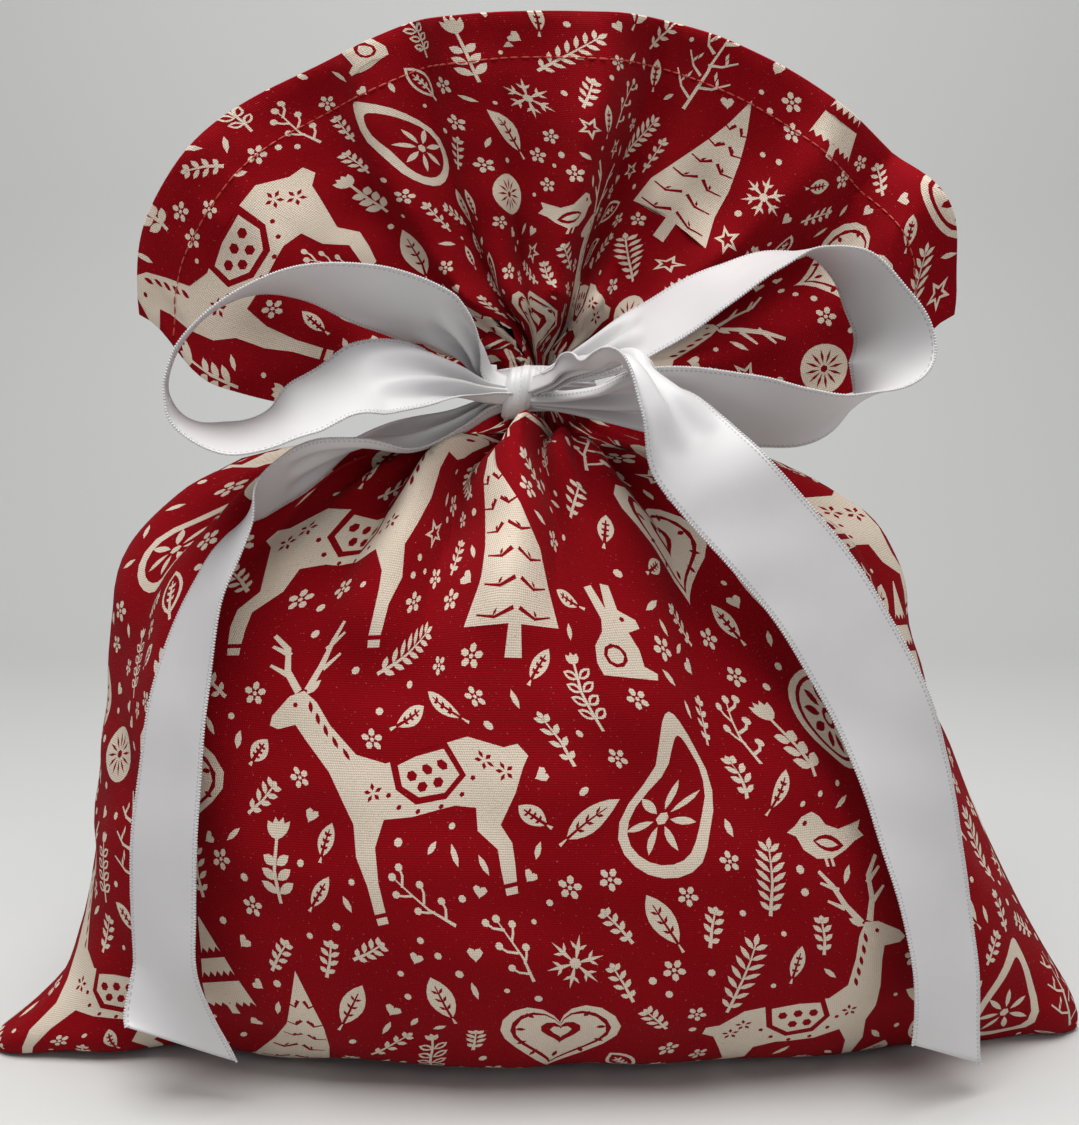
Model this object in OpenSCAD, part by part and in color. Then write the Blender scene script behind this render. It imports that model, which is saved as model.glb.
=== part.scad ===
// Drawstring gift pouch: a filled cloth bag, gathered at the neck and tied with a satin ribbon bow.
// Millimetres, +Z up. The origin is on the table under the middle of the bag, and -Y is the front.

/* [Pouch] */
// Width across the two bottom corners
pouch_w = 316; // [260:1:380]
// Depth of the filled body, front to back
pouch_d = 136; // [110:1:165]
// Height of the middle of the tie above the table
tie_h = 188; // [155:1:230]
// Thickness of the cloth panels
cloth_t = 1.6; // [1:0.1:2.5]
// Width of the seam allowance inside the bag
seam_w = 8; // [5:0.5:12]

/* [Mouth above the tie] */
// Width of the cloth fanned out above the tie
mouth_w = 244; // [200:1:295]
// Height of the fanned cloth above the middle of the tie
mouth_h = 100; // [80:1:125]
// Gap between the front and back cloth at the rim
mouth_gap = 40; // [32:1:60]
// Number of soft folds across the fanned cloth
fold_count = 5; // [3:1:7]
// Depth of those folds at the rim
fold_d = 5; // [0:0.5:8]
// Depth of the folded hem round the rim
hem_w = 16; // [10:1:24]

/* [Neck and ribbon] */
// Radius of the gathered cloth inside the tie
neck_r = 14; // [11:0.5:18]
// Width of the ribbon
ribbon_w = 25; // [16:1:30]
// Thickness of the ribbon
ribbon_t = 0.8; // [0.5:0.1:1.2]
// Height of the bunched ribbon where it wraps the neck
band_h = 12; // [9:0.5:16]
// Radius of the knot
knot_r = 6; // [5:0.5:8]
// Sideways place of the knot
knot_x = -6; // [-10:1:10]

/* [Hidden] */
fit = 0.3;
seam_t = 2.4;
thread_r = 0.4;
hem_t = 1.2;
thread_gap = 0.3;
fill_gap = 2.5;
seam_gap = seam_t / 2 + fit;
body_top = tie_h - band_h / 2 - 2;
band_r = neck_r + 0.1;
knot_y = -(band_r + 2 * ribbon_t + knot_r);
pivot_z = tie_h + band_h / 2 + 1;
mouth_z = pivot_z + 1.2;
mouth_rz = tie_h + mouth_h - mouth_z;
mouth_sag = 8;
neck_z = body_top - 4;
edge_angle = 87;
panel_steps = 26;
fan_low = 3;
fan_steps = 40;
fan_rings = 9;
flat_t = ribbon_t / 2;

// Outline of the body, from the table to the tie: share of the height, of the half width on the
// left and right, and of the half depth, then the roundness of the section (2 is an ellipse)
BODY = [
  [0.000, 1.000, 1.000, 0.560, 1.5], [0.033, 0.990, 1.000, 0.680, 1.5],
  [0.077, 0.925, 0.980, 0.780, 1.7], [0.120, 0.878, 0.950, 0.850, 1.9],
  [0.190, 0.855, 0.905, 0.930, 2.1], [0.330, 0.830, 0.825, 1.000, 2.3],
  [0.440, 0.812, 0.760, 1.000, 2.3], [0.555, 0.800, 0.705, 0.955, 2.3],
  [0.690, 0.785, 0.660, 0.850, 2.3], [0.780, 0.762, 0.625, 0.735, 2.3],
  [0.860, 0.680, 0.560, 0.590, 2.2], [0.910, 0.600, 0.460, 0.480, 2.1],
  [0.945, 0.500, 0.370, 0.400, 2.0], [0.972, 0.320, 0.250, 0.320, 2.0],
  [0.990, 0.180, 0.170, 0.260, 2.0]
];
FILL_ROWS = 12;

// Ribbon routes from the middle of the knot: x, y, z, then the direction across the ribbon, then
// the share of the ribbon's width that is spread there
LEFT_LOOP = [
  [-9, -1, 4, 0.2, -0.9, 0.3, 0.2], [-14, -4, 11, 0.3, -0.8, 0.5, 0.5],
  [-24, -10, 19, 0.5, -0.7, 0.5, 1], [-40, -16, 25, 0.1, -0.8, 0.6, 1],
  [-56, -20, 28, 0, -1, 0.3, 1], [-69, -22, 26, 0, -1, 0, 1], [-81, -24, 19, 0.1, -1, -0.1, 1],
  [-89, -25, 8, 0.2, -1, 0, 1], [-90, -26, 1, 0.2, -1, 0, 1], [-87, -27, -5, 0.2, -1, -0.1, 1],
  [-81, -28, -9, 0.1, -1, -0.2, 1], [-73, -28, -11, 0, -1, -0.3, 1],
  [-64, -28, -9, 0, -0.9, -0.4, 1], [-56, -27, -4, 0.1, -0.8, -0.6, 1],
  [-47, -24, 1, 0.1, -0.8, -0.6, 1], [-39, -21, 4, 0, -0.7, -0.8, 1],
  [-29, -17, 5, -0.1, -0.7, -0.8, 0.9], [-17, -10, 3, -0.1, -0.7, -0.7, 0.5],
  [-9, -5, 0, -0.1, -0.9, -0.5, 0.2]
];
RIGHT_LOOP = [
  [9, -1, 4, 0.2, -0.8, -0.6, 0.2], [20, -5, 9, 0.3, -0.8, -0.5, 0.6],
  [32, -10, 16, 0.3, -0.9, -0.4, 1], [42, -14, 22, 0.3, -0.9, -0.4, 1],
  [53, -18, 28, 0.2, -0.9, -0.3, 1], [65, -21, 34, 0.1, -1, -0.2, 1], [75, -22, 36, 0, -1, 0, 1],
  [84, -23, 32, 0.3, -1, 0.1, 1], [90, -25, 24, 0.5, -0.9, 0, 1], [94, -27, 15, 0.6, -0.8, 0, 1],
  [94, -29, 8, 0.7, -0.7, 0.1, 1], [90, -31, 1, 0.5, -0.8, 0.3, 1],
  [82, -32, -4, 0.2, -0.9, 0.4, 1], [72, -31, -6, 0, -0.8, 0.6, 1],
  [60, -28, -5, 0, -0.7, 0.7, 1], [47, -24, -4, 0, -0.6, 0.8, 1],
  [34, -18, -3, 0, -0.7, 0.7, 0.9], [22, -11, -2, 0, -0.7, 0.7, 0.5],
  [9, -5, -1, 0, -0.9, 0.5, 0.2]
];
LEFT_TAIL = [
  [-9, 1, -4, 0, 0.7, 0.6, 0.2], [-18, -2, -8, 0, 0.8, 0.6, 0.4], [-30, -6, -11, 0, 0.8, 0.5, 0.7],
  [-44, -12, -14, 0.1, 1, 0, 0.8], [-54, -16, -18, 0.2, 0.9, -0.3, 0.9],
  [-61, -20, -22, 0.3, 0.9, -0.2, 1], [-67, -24, -27, 0.2, 1, -0.1, 1],
  [-71, -27, -33, -0.2, 1, 0, 1], [-75, -30, -40, -0.4, 0.9, 0, 1], [-80, -32, -50, -0.5, 0.9, 0, 1],
  [-84, -34, -62, -0.6, 0.8, 0, 1], [-87, -36, -76, -0.7, 0.7, 0, 1],
  [-89, -38, -92, -0.8, 0.7, 0, 1], [-91, -40, -110, -0.8, 0.6, 0, 1],
  [-92, -40, -130, -0.8, 0.6, 0, 1], [-92, -39, -148, -0.8, 0.6, 0, 1],
  [-90, -37, -164, -0.8, 0.6, 0.1, 1], [-86, -36, -179, -0.8, 0.6, 0.1, 0.8]
];
RIGHT_TAIL = [
  [9, -9, 3, 0.2, 0.8, -0.5, 0.1], [13, -17, 6, 0.1, 0.9, -0.4, 0.3], [20, -26, 8, 0.1, 1, 0, 0.6],
  [28, -37, 8, 0.1, 1, 0.1, 0.8], [35, -42, -1, 0.5, 0.8, 0.3, 0.9], [42, -42, -13, 0.8, 0.4, 0.5, 1],
  [51, -44, -23, 0.9, 0.1, 0.5, 1], [62, -44, -35, 0.9, 0.1, 0.5, 1],
  [73, -43, -48, 0.9, 0.1, 0.5, 1], [82, -42, -62, 0.9, 0.1, 0.4, 1],
  [91, -41, -78, 0.9, 0.1, 0.4, 1], [98, -40, -96, 0.9, 0.3, 0.3, 1],
  [103, -39, -114, 0.9, 0.5, 0.2, 1], [108, -38, -133, 0.8, 0.6, 0.1, 1],
  [111, -37, -153, 0.8, 0.7, 0, 1], [112, -36, -176, 0.7, 0.7, 0, 1]
];

// Point of each tail's route where it folds when the tail is lifted, and the gap left there
LEFT_FOLD = 8;
RIGHT_FOLD = 5;
fold_gap = 1;

// A signed power, for the rounded sections
function bend(value, roundness) = sign(value) * pow(abs(value), 2 / roundness);

// A point of the body's section at one row and angle, drawn in by an inset; -90 is the left seam
function body_point(row, angle, inset, drop) =
  let (
    half_w = pouch_w / 2 * (angle < 0 ? row[1] : row[2]) - inset,
    half_d = pouch_d / 2 * row[3] - inset
  )
  [
    half_w * bend(sin(angle), row[4]),
    -seam_gap - half_d * bend(cos(angle), row[4]),
    body_top * row[0] + drop * cos(180 * row[0])
  ];

// The ring where the body closes on the neck
function collar_point(angle, radius, z) =
  [radius * sin(angle), -seam_gap - (radius - seam_gap) * cos(angle), z];

// A closed sheet between two grids of points with the same rows and columns
module sheet(outer, inner) {
  rows = len(outer);
  cols = len(outer[0]);
  count = rows * cols;
  points = [for (grid = [outer, inner]) for (row = grid) for (point = row) point];
  faces = [
    for (r = [0 : rows - 2]) for (c = [0 : cols - 2])
      let (a = r * cols + c, b = a + 1, d = a + cols, e = d + 1)
      each [
        [a, e, b], [a, d, e],
        [count + a, count + b, count + e], [count + a, count + e, count + d]
      ],
    for (c = [0 : cols - 2])
      let (low = c, high = (rows - 1) * cols + c)
      each [
        [low, count + low + 1, count + low], [low, low + 1, count + low + 1],
        [high, count + high + 1, high + 1], [high, count + high, count + high + 1]
      ],
    for (r = [0 : rows - 2])
      let (left = r * cols, right = left + cols - 1)
      each [
        [left, count + left + cols, left + cols], [left, count + left, count + left + cols],
        [right, count + right + cols, count + right], [right, right + cols, count + right + cols]
      ]
  ];
  polyhedron(points, faces, convexity = 8);
}

// Front half of the body: from the bottom seam across the base, up the side and in to the neck
module body_half() {
  angles = [for (i = [0 : panel_steps]) -edge_angle + 2 * edge_angle * i / panel_steps];
  outer = [
    [for (a = angles) let (p = body_point(BODY[0], a, 0, 0)) [p[0], -seam_gap, 0]],
    for (row = BODY) [for (a = angles) body_point(row, a, 0, 0)],
    [for (a = angles) collar_point(a, band_r + cloth_t, body_top)]
  ];
  inner = [
    [for (a = angles) let (p = body_point(BODY[0], a, cloth_t, 0)) [p[0], -seam_gap, cloth_t]],
    for (row = BODY) [for (a = angles) body_point(row, a, cloth_t, cloth_t)],
    [for (a = angles) collar_point(a, band_r, body_top - cloth_t)]
  ];
  sheet(outer, inner);
}

module front_panel() {
  color("firebrick") body_half();
}

module back_panel() {
  color("firebrick") mirror([0, 1, 0]) body_half();
}

// Seam allowance up one side of the body, standing in between the two panels
module side_seam(side) {
  rows = [for (row = BODY) if (row[0] * body_top > seam_w + fit) row];
  share = side < 0 ? 1 : 2;
  edge = [for (row = rows) [side * pouch_w / 2 * row[share], body_top * row[0]]];
  front = [for (p = edge) [[p[0] - side * seam_w, -seam_t / 2, p[1]], [p[0], -seam_t / 2, p[1]]]];
  back = [for (p = edge) [[p[0] - side * seam_w, seam_t / 2, p[1]], [p[0], seam_t / 2, p[1]]]];
  if (side < 0) sheet(back, front);
  else sheet(front, back);
}

module left_side_seam() {
  color("wheat") side_seam(-1);
}

module right_side_seam() {
  color("wheat") side_seam(1);
}

module bottom_seam() {
  length = pouch_w - 2 * cloth_t;
  color("wheat") translate([-length / 2, -seam_t / 2, 0]) cube([length, seam_t, seam_w]);
}

// Soft wad that keeps the bag full; it rests on the bottom seam
module filling() {
  inset = cloth_t + fill_gap;
  base_z = seam_w + fit;
  rows = [
    BODY[1],
    for (i = [2 : FILL_ROWS - 1]) if (body_top * BODY[i][0] > base_z + 1) BODY[i]
  ];
  angles = [for (i = [0 : panel_steps]) -edge_angle + 2 * edge_angle * i / panel_steps];
  rings = [
    for (i = [0 : len(rows) - 1])
      let (
        row = rows[i],
        z = i == 0 ? base_z : body_top * row[0] - inset * row[0],
        slim = 1 - (seam_w + 3) / (pouch_w / 2 * min(row[1], row[2])),
        front = [for (a = angles) let (p = body_point(row, a, inset, 0)) [p[0] * slim, p[1], z]]
      )
      concat(front, [for (k = [panel_steps : -1 : 0]) [front[k][0], -front[k][1], z]])
  ];
  color("ivory") tube([for (ring = rings) for (p = ring) p], 2 * len(angles));
}

module neck_gathers() {
  color("firebrick") translate([0, 0, neck_z])
    cylinder(h = tie_h + band_h / 2 - neck_z, r = neck_r, $fn = 64);
}

// A point of the fanned cloth: share from the tie to the rim, and angle round the fan
function fan_edge(share, angle) =
  [
    -(neck_r - 1 + (mouth_w / 2 - neck_r + 1) * share) * cos(angle),
    mouth_z + (1 + (mouth_rz - 1) * share) * sin(angle)
      - mouth_sag * sin(180 * share) * pow(abs(cos(angle)), 4)
  ];

function fan_depth(share, angle) =
  seam_gap + cloth_t
    + mouth_gap / 2 * pow(share, 1.1) * pow(sin(angle), 0.8)
    + fold_d * share * sin(angle) * sin(360 * fold_count * angle / 180);

function fan_point(share, angle, lift) =
  let (edge = fan_edge(share, angle)) [edge[0], lift - fan_depth(share, angle), edge[1]];

// One layer of the fanned cloth or of its hem, between two shares and two distances from the face
module fan_layer(from, rings, low_angle, face, back) {
  angles = [for (i = [0 : fan_steps]) low_angle + (180 - 2 * low_angle) * i / fan_steps];
  shares = [for (i = [0 : rings]) from + (1 - from) * i / rings];
  outer = [for (s = shares) [for (a = angles) fan_point(s, a, face)]];
  inner = [for (s = shares) [for (a = angles) fan_point(s, a, back)]];
  sheet(outer, inner);
}

module front_ruff() {
  color("firebrick") fan_layer(0, fan_rings, fan_low, 0, cloth_t);
}

module back_ruff() {
  color("firebrick") mirror([0, 1, 0]) fan_layer(0, fan_rings, fan_low, 0, cloth_t);
}

// Seam allowance along one lower edge of the fanned cloth
module fan_seam(side) {
  shares = [for (i = [0 : fan_rings]) 0.06 + 0.92 * i / fan_rings];
  edge = [for (s = shares) fan_edge(s, fan_low)];
  front = [for (p = edge) [[p[0], -seam_t / 2, p[1]], [p[0], -seam_t / 2, p[1] + seam_w]]];
  back = [for (p = edge) [[p[0], seam_t / 2, p[1]], [p[0], seam_t / 2, p[1] + seam_w]]];
  if (side < 0) sheet(front, back);
  else mirror([1, 0, 0]) sheet(front, back);
}

module left_ruff_seam() {
  color("wheat") fan_seam(-1);
}

module right_ruff_seam() {
  color("wheat") fan_seam(1);
}

// Folded hem, on the inner face of the rim
module hem_half() {
  fan_layer(1 - hem_w / mouth_rz, 2, 11, cloth_t + fit, cloth_t + fit + hem_t);
}

module front_hem() {
  color("wheat") hem_half();
}

module back_hem() {
  color("wheat") mirror([0, 1, 0]) hem_half();
}

// Line of stitches that holds the hem, on the outer face
module thread_half() {
  share = 1 - (hem_w - 1) / mouth_rz;
  sides = 6;
  points = [
    for (i = [0 : fan_steps])
      let (a = 11 + 158 * i / fan_steps, p = fan_point(share, a, -thread_r - thread_gap))
      for (k = [0 : sides - 1])
        p + thread_r * [0, cos(360 * k / sides), sin(360 * k / sides)]
        + thread_r * cos(a) * [-sin(360 * k / sides), 0, 0]
  ];
  tube(points, sides);
}

// A closed tube through rings of points, each with the same number of sides
module tube(points, sides) {
  rings = len(points) / sides;
  faces = [
    for (r = [0 : rings - 2]) for (k = [0 : sides - 1])
      let (a = r * sides + k, b = r * sides + (k + 1) % sides)
      each [[a, b + sides, b], [a, a + sides, b + sides]],
    [for (k = [0 : sides - 1]) k],
    [for (k = [0 : sides - 1]) rings * sides - 1 - k]
  ];
  polyhedron(points, faces, convexity = 8);
}

module front_hem_thread() {
  color("orangered") thread_half();
}

module back_hem_thread() {
  color("orangered") mirror([0, 1, 0]) thread_half();
}

module neck_band() {
  color("whitesmoke") translate([0, 0, tie_h - band_h / 2])
    difference() {
      cylinder(h = band_h, r = band_r + ribbon_t, $fn = 64);
      translate([0, 0, -1]) cylinder(h = band_h + 2, r = band_r, $fn = 64);
    }
}

module knot() {
  color("whitesmoke") translate([knot_x, knot_y, tie_h])
    rotate_extrude($fn = 48)
      hull() {
        translate([0, -band_h / 2 - 1]) square([knot_r - 2, band_h + 2]);
        translate([0, -band_h / 2 + 1]) square([knot_r, band_h - 2]);
      }
}

// Row of stitches that fixes the ribbon to the back of the neck
module ribbon_tack() {
  tack_w = 8;
  tack_h = 3;
  color("whitesmoke") translate([-tack_w / 2, band_r + ribbon_t + 0.1, tie_h - tack_h / 2])
    cube([tack_w, ribbon_t, tack_h]);
}

function unit(v) = v / norm(v);

// Flat eight-sided section of the ribbon at one point of its route
function ribbon_ring(route, i) =
  let (
    here = route[i],
    before = route[max(0, i - 1)],
    after = route[min(len(route) - 1, i + 1)],
    along = unit([after[0] - before[0], after[1] - before[1], after[2] - before[2]]),
    face = unit(cross(along, [here[3], here[4], here[5]])),
    across = cross(face, along),
    half = ribbon_w / 2 * here[6],
    centre = [knot_x + here[0], knot_y + here[1], tie_h + here[2]]
  )
  [
    for (corner = [[1, -0.4], [1, 0.4], [0.9, 1], [-0.9, 1], [-1, 0.4], [-1, -0.4], [-0.9, -1], [0.9, -1]])
      centre + across * half * corner[0] + face * flat_t * corner[1]
  ];

module ribbon(route) {
  color("whitesmoke") tube([for (i = [0 : len(route) - 1]) each ribbon_ring(route, i)], 8);
}

module left_loop() {
  ribbon(LEFT_LOOP);
}

module right_loop() {
  ribbon(RIGHT_LOOP);
}

// The route's point at one end of the gap at the fold: a step of fold_gap towards a neighbour
function near_fold(route, fold, step) =
  let (
    here = route[fold],
    next = route[fold + step],
    share = fold_gap / norm([next[0] - here[0], next[1] - here[1], next[2] - here[2]])
  )
  here * (1 - share) + next * share;

function before_fold(route, fold) =
  concat([for (i = [0 : fold - 1]) route[i]], [near_fold(route, fold, -1)]);

function after_fold(route, fold) =
  concat([near_fold(route, fold, 1)], [for (i = [fold + 1 : len(route) - 1]) route[i]]);

module left_tail_turn() {
  ribbon(before_fold(LEFT_TAIL, LEFT_FOLD));
}

module right_tail_turn() {
  ribbon(before_fold(RIGHT_TAIL, RIGHT_FOLD));
}

module left_tail() {
  ribbon(after_fold(LEFT_TAIL, LEFT_FOLD));
}

module right_tail() {
  ribbon(after_fold(RIGHT_TAIL, RIGHT_FOLD));
}

front_panel();
back_panel();
left_side_seam();
right_side_seam();
bottom_seam();
filling();
neck_gathers();
front_ruff();
back_ruff();
left_ruff_seam();
right_ruff_seam();
front_hem();
back_hem();
front_hem_thread();
back_hem_thread();
neck_band();
knot();
ribbon_tack();
left_loop();
right_loop();
left_tail_turn();
right_tail_turn();
left_tail();
right_tail();
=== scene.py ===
"""Printed cotton gift pouch with a fanned mouth, tied at the neck with a satin ribbon bow."""

import math
import random

import bpy
import numpy as np
from bpy.props import FloatProperty, FloatVectorProperty, IntProperty, PointerProperty
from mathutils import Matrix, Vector
from mathutils.geometry import delaunay_2d_cdt


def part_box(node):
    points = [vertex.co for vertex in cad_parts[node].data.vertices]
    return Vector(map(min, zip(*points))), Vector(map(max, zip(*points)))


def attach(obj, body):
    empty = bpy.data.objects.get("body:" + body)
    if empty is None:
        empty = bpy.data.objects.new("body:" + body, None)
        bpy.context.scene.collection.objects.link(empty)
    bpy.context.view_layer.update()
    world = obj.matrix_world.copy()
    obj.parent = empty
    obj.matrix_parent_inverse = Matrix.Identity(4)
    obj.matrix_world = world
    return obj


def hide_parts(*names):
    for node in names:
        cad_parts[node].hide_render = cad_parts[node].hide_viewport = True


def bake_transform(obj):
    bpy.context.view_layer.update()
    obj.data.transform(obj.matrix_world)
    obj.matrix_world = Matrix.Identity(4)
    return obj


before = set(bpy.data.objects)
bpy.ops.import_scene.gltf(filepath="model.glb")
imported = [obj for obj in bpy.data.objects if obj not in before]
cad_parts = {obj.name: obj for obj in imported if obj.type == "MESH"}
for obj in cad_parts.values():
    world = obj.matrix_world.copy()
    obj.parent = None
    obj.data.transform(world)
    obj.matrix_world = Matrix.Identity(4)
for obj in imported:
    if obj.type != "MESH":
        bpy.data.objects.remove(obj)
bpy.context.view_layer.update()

bl_info = {
    "name": "Gift Pouch",
    "version": (1, 0, 0),
    "blender": (4, 5, 0),
    "location": "View3D > Sidebar > Gift Pouch",
    "description": "Printed cotton gift pouch with a fanned mouth and a satin bow",
    "category": "Add Mesh",
}

MM = 0.001


def middle(node):
    low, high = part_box(node)
    return (np.array(low) + np.array(high)) / 2


KNOT = middle("knot")

# The flat cut of each panel in millimetres: its width, the rows of the neck, the rim
# and the end of the turned hem, the rows of the hem's fold, and the hem's stitch line.
CUT_WIDTH = 340.0
CUT_NECK = 250.0
CUT_RIM = 375.0
CUT_END = 391.0
HEM_FOLD = [CUT_RIM - 0.45, CUT_RIM, CUT_RIM + 0.45]
HEM_STITCH = 15

# Half the gap between the two panels in millimetres, and the places sampled across a panel.
HALF_GAP = 0.7
SAMPLES = 1401

# Along a ribbon, in millimetres: the step of its grid, and the edge that has no picots
# at its start and at the end of a loop.
RIBBON_STEP = 1.5
PICOT_START = 6
LOOP_BARE_END = 24

# Sections of the filled body in millimetres: height, left half, right half, depth, roundness.
# The last one is the neck, where the fanned mouth starts.
BODY_ROWS = [
    [0.6, 158, 158, 0, 1.5],
    [0.6, 158, 158, 14, 1.5],
    [0.6, 158, 158, 26, 1.5],
    [1.6, 158, 158, 36.5, 1.5],
    [5.9, 156.4, 158, 46.2, 1.5],
    [13.9, 146.2, 154.8, 53, 1.7],
    [21.6, 138.7, 150.1, 57.8, 1.9],
    [34.2, 135.1, 143, 63.2, 2.1],
    [59.4, 131.1, 130.4, 68, 2.3],
    [79.2, 128.3, 120.1, 68, 2.3],
    [99.9, 126.4, 111.4, 64.9, 2.3],
    [124.2, 124, 104.3, 57.8, 2.3],
    [140.4, 120.4, 98.8, 50, 2.3],
    [154.8, 107.4, 88.5, 40.1, 2.2],
    [163.8, 94.8, 72.7, 32.6, 2.1],
    [170.1, 79, 58.5, 27.2, 2],
    [175, 50.6, 39.5, 21.8, 2],
    [178.2, 28.4, 26.9, 17.7, 2],
    [181.4, 18.4, 18, 15, 2],
    [185, 14.6, 14.6, 13.6, 2],
    [190, 13.2, 13.2, 12.8, 2],
    [195.6, 13, 13, 12.6, 2],
]

# Creases run from the neck. Each is: place across the panel at the neck and at its
# far end, depth at the neck, reach, width at the neck and at its far end (millimetres).
BODY_CREASES = [
    [0.05, 0.07, 6, 40, 1.0, 6],
    [0.12, 0.13, 8, 110, 1.3, 12],
    [0.21, 0.23, 7, 62, 1.1, 8],
    [0.29, 0.27, 8, 44, 1.1, 6],
    [0.36, 0.33, 8, 70, 1.1, 9],
    [0.44, 0.42, 11, 92, 1.2, 9],
    [0.50, 0.475, 8, 26, 1.0, 4],
    [0.565, 0.545, 12, 84, 1.3, 7],
    [0.63, 0.585, 10, 62, 1.2, 7],
    [0.69, 0.655, 10, 112, 1.2, 11],
    [0.77, 0.79, 8, 120, 1.3, 13],
    [0.84, 0.86, 8, 60, 1.1, 8],
    [0.90, 0.91, 7, 96, 1.2, 10],
    [0.96, 0.95, 6, 36, 1.0, 5],
]
RUFF_CREASES = [
    [0.06, 0.05, 6, 46, 1.0, 6],
    [0.14, 0.16, 9, 72, 1.2, 8],
    [0.22, 0.19, 9, 96, 1.2, 9],
    [0.30, 0.28, 9, 60, 1.1, 8],
    [0.375, 0.385, 14, 170, 1.3, 6.5],
    [0.45, 0.47, 11, 112, 1.2, 8],
    [0.52, 0.54, 8, 50, 1.0, 5],
    [0.585, 0.612, 18, 190, 1.5, 6.5],
    [0.66, 0.665, 9, 78, 1.1, 8],
    [0.73, 0.72, 9, 66, 1.1, 8],
    [0.81, 0.835, 17, 165, 1.5, 7.5],
    [0.88, 0.89, 9, 76, 1.1, 8],
    [0.95, 0.95, 6, 60, 1.0, 6],
]

# Ribbon routes in millimetres from the middle of the knot: place, direction across
# the ribbon, and the share of its width that is spread out.
LEFT_LOOP = [
    [-3, -1, 1, 0.2, -0.9, 0.3, 0.14],
    [-9, -1, 4, 0.2, -0.9, 0.3, 0.2],
    [-14, -4, 11, 0.3, -0.8, 0.5, 0.5],
    [-24, -10, 19, 0.5, -0.7, 0.5, 1],
    [-40, -16, 25, 0.1, -0.8, 0.6, 1],
    [-56, -20, 28, 0, -1, 0.3, 1],
    [-69, -22, 26, 0, -1, 0, 1],
    [-81, -24, 19, 0.1, -1, -0.1, 1],
    [-89, -25, 8, 0.2, -1, 0, 1],
    [-90, -26, 1, 0.2, -1, 0, 1],
    [-87, -27, -5, 0.2, -1, -0.1, 1],
    [-81, -28, -9, 0.1, -1, -0.2, 1],
    [-73, -28, -11, 0, -1, -0.3, 1],
    [-64, -28, -9, 0, -0.9, -0.4, 1],
    [-56, -27, -4, 0.1, -0.8, -0.6, 1],
    [-47, -24, 1, 0.1, -0.8, -0.6, 1],
    [-39, -21, 4, 0, -0.7, -0.8, 1],
    [-29, -17, 5, -0.1, -0.7, -0.8, 0.9],
    [-17, -10, 3, -0.1, -0.7, -0.7, 0.5],
    [-9, -5, 0, -0.1, -0.9, -0.5, 0.26],
    [-3, -3, -1, -0.1, -0.9, -0.5, 0.16],
]
RIGHT_LOOP = [
    [3, -1, 1, 0.2, -0.8, -0.6, 0.14],
    [9, -1, 4, 0.2, -0.8, -0.6, 0.2],
    [20, -5, 9, 0.3, -0.8, -0.5, 0.6],
    [32, -10, 16, 0.3, -0.9, -0.4, 1],
    [42, -14, 22, 0.3, -0.9, -0.4, 1],
    [53, -18, 28, 0.2, -0.9, -0.3, 1],
    [65, -21, 34, 0.1, -1, -0.2, 1],
    [75, -22, 36, 0, -1, 0, 1],
    [84, -23, 32, 0.3, -1, 0.1, 1],
    [90, -25, 24, 0.5, -0.9, 0, 1],
    [94, -27, 15, 0.6, -0.8, 0, 1],
    [94, -29, 8, 0.7, -0.7, 0.1, 1],
    [90, -31, 1, 0.5, -0.8, 0.3, 1],
    [82, -32, -4, 0.2, -0.9, 0.4, 1],
    [72, -31, -6, 0, -0.8, 0.6, 1],
    [60, -28, -5, 0, -0.7, 0.7, 1],
    [47, -24, -4, 0, -0.6, 0.8, 1],
    [34, -18, -3, 0, -0.7, 0.7, 0.9],
    [22, -9.5, -3, 0, -0.7, 0.7, 0.45],
    [9, -3.5, -2, 0, -0.9, 0.5, 0.24],
    [3, -2.5, -1.5, 0, -0.9, 0.5, 0.16],
]
LEFT_TAIL = [
    [-3, 1, -2, 0, 0.7, 0.6, 0.14],
    [-9, 1, -4, 0, 0.7, 0.6, 0.2],
    [-18, -2, -8, 0, 0.8, 0.6, 0.4],
    [-30, -6, -11, 0, 0.8, 0.5, 0.7],
    [-44, -12, -14, 0.1, 1, 0, 0.8],
    [-54, -16, -18, 0.2, 0.9, -0.3, 0.9],
    [-61, -20, -22, 0.3, 0.9, -0.2, 1],
    [-67, -24, -27, 0.2, 1, -0.1, 1],
    [-71, -27, -33, -0.2, 1, 0, 1],
    [-75, -30, -40, -0.4, 0.9, 0, 1],
    [-80, -32, -50, -0.5, 0.9, 0, 1],
    [-84, -34, -62, -0.6, 0.8, 0, 1],
    [-87, -36, -76, -0.7, 0.7, 0, 1],
    [-89, -38, -92, -0.8, 0.7, 0, 1],
    [-91, -40, -110, -0.8, 0.6, 0, 1],
    [-92, -40, -130, -0.8, 0.6, 0, 1],
    [-92, -39, -148, -0.8, 0.6, 0, 1],
    [-90, -38, -164, -0.9, 0.3, 0.1, 1],
    [-86, -38, -178, -1, 0, 0.1, 1],
]
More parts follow.
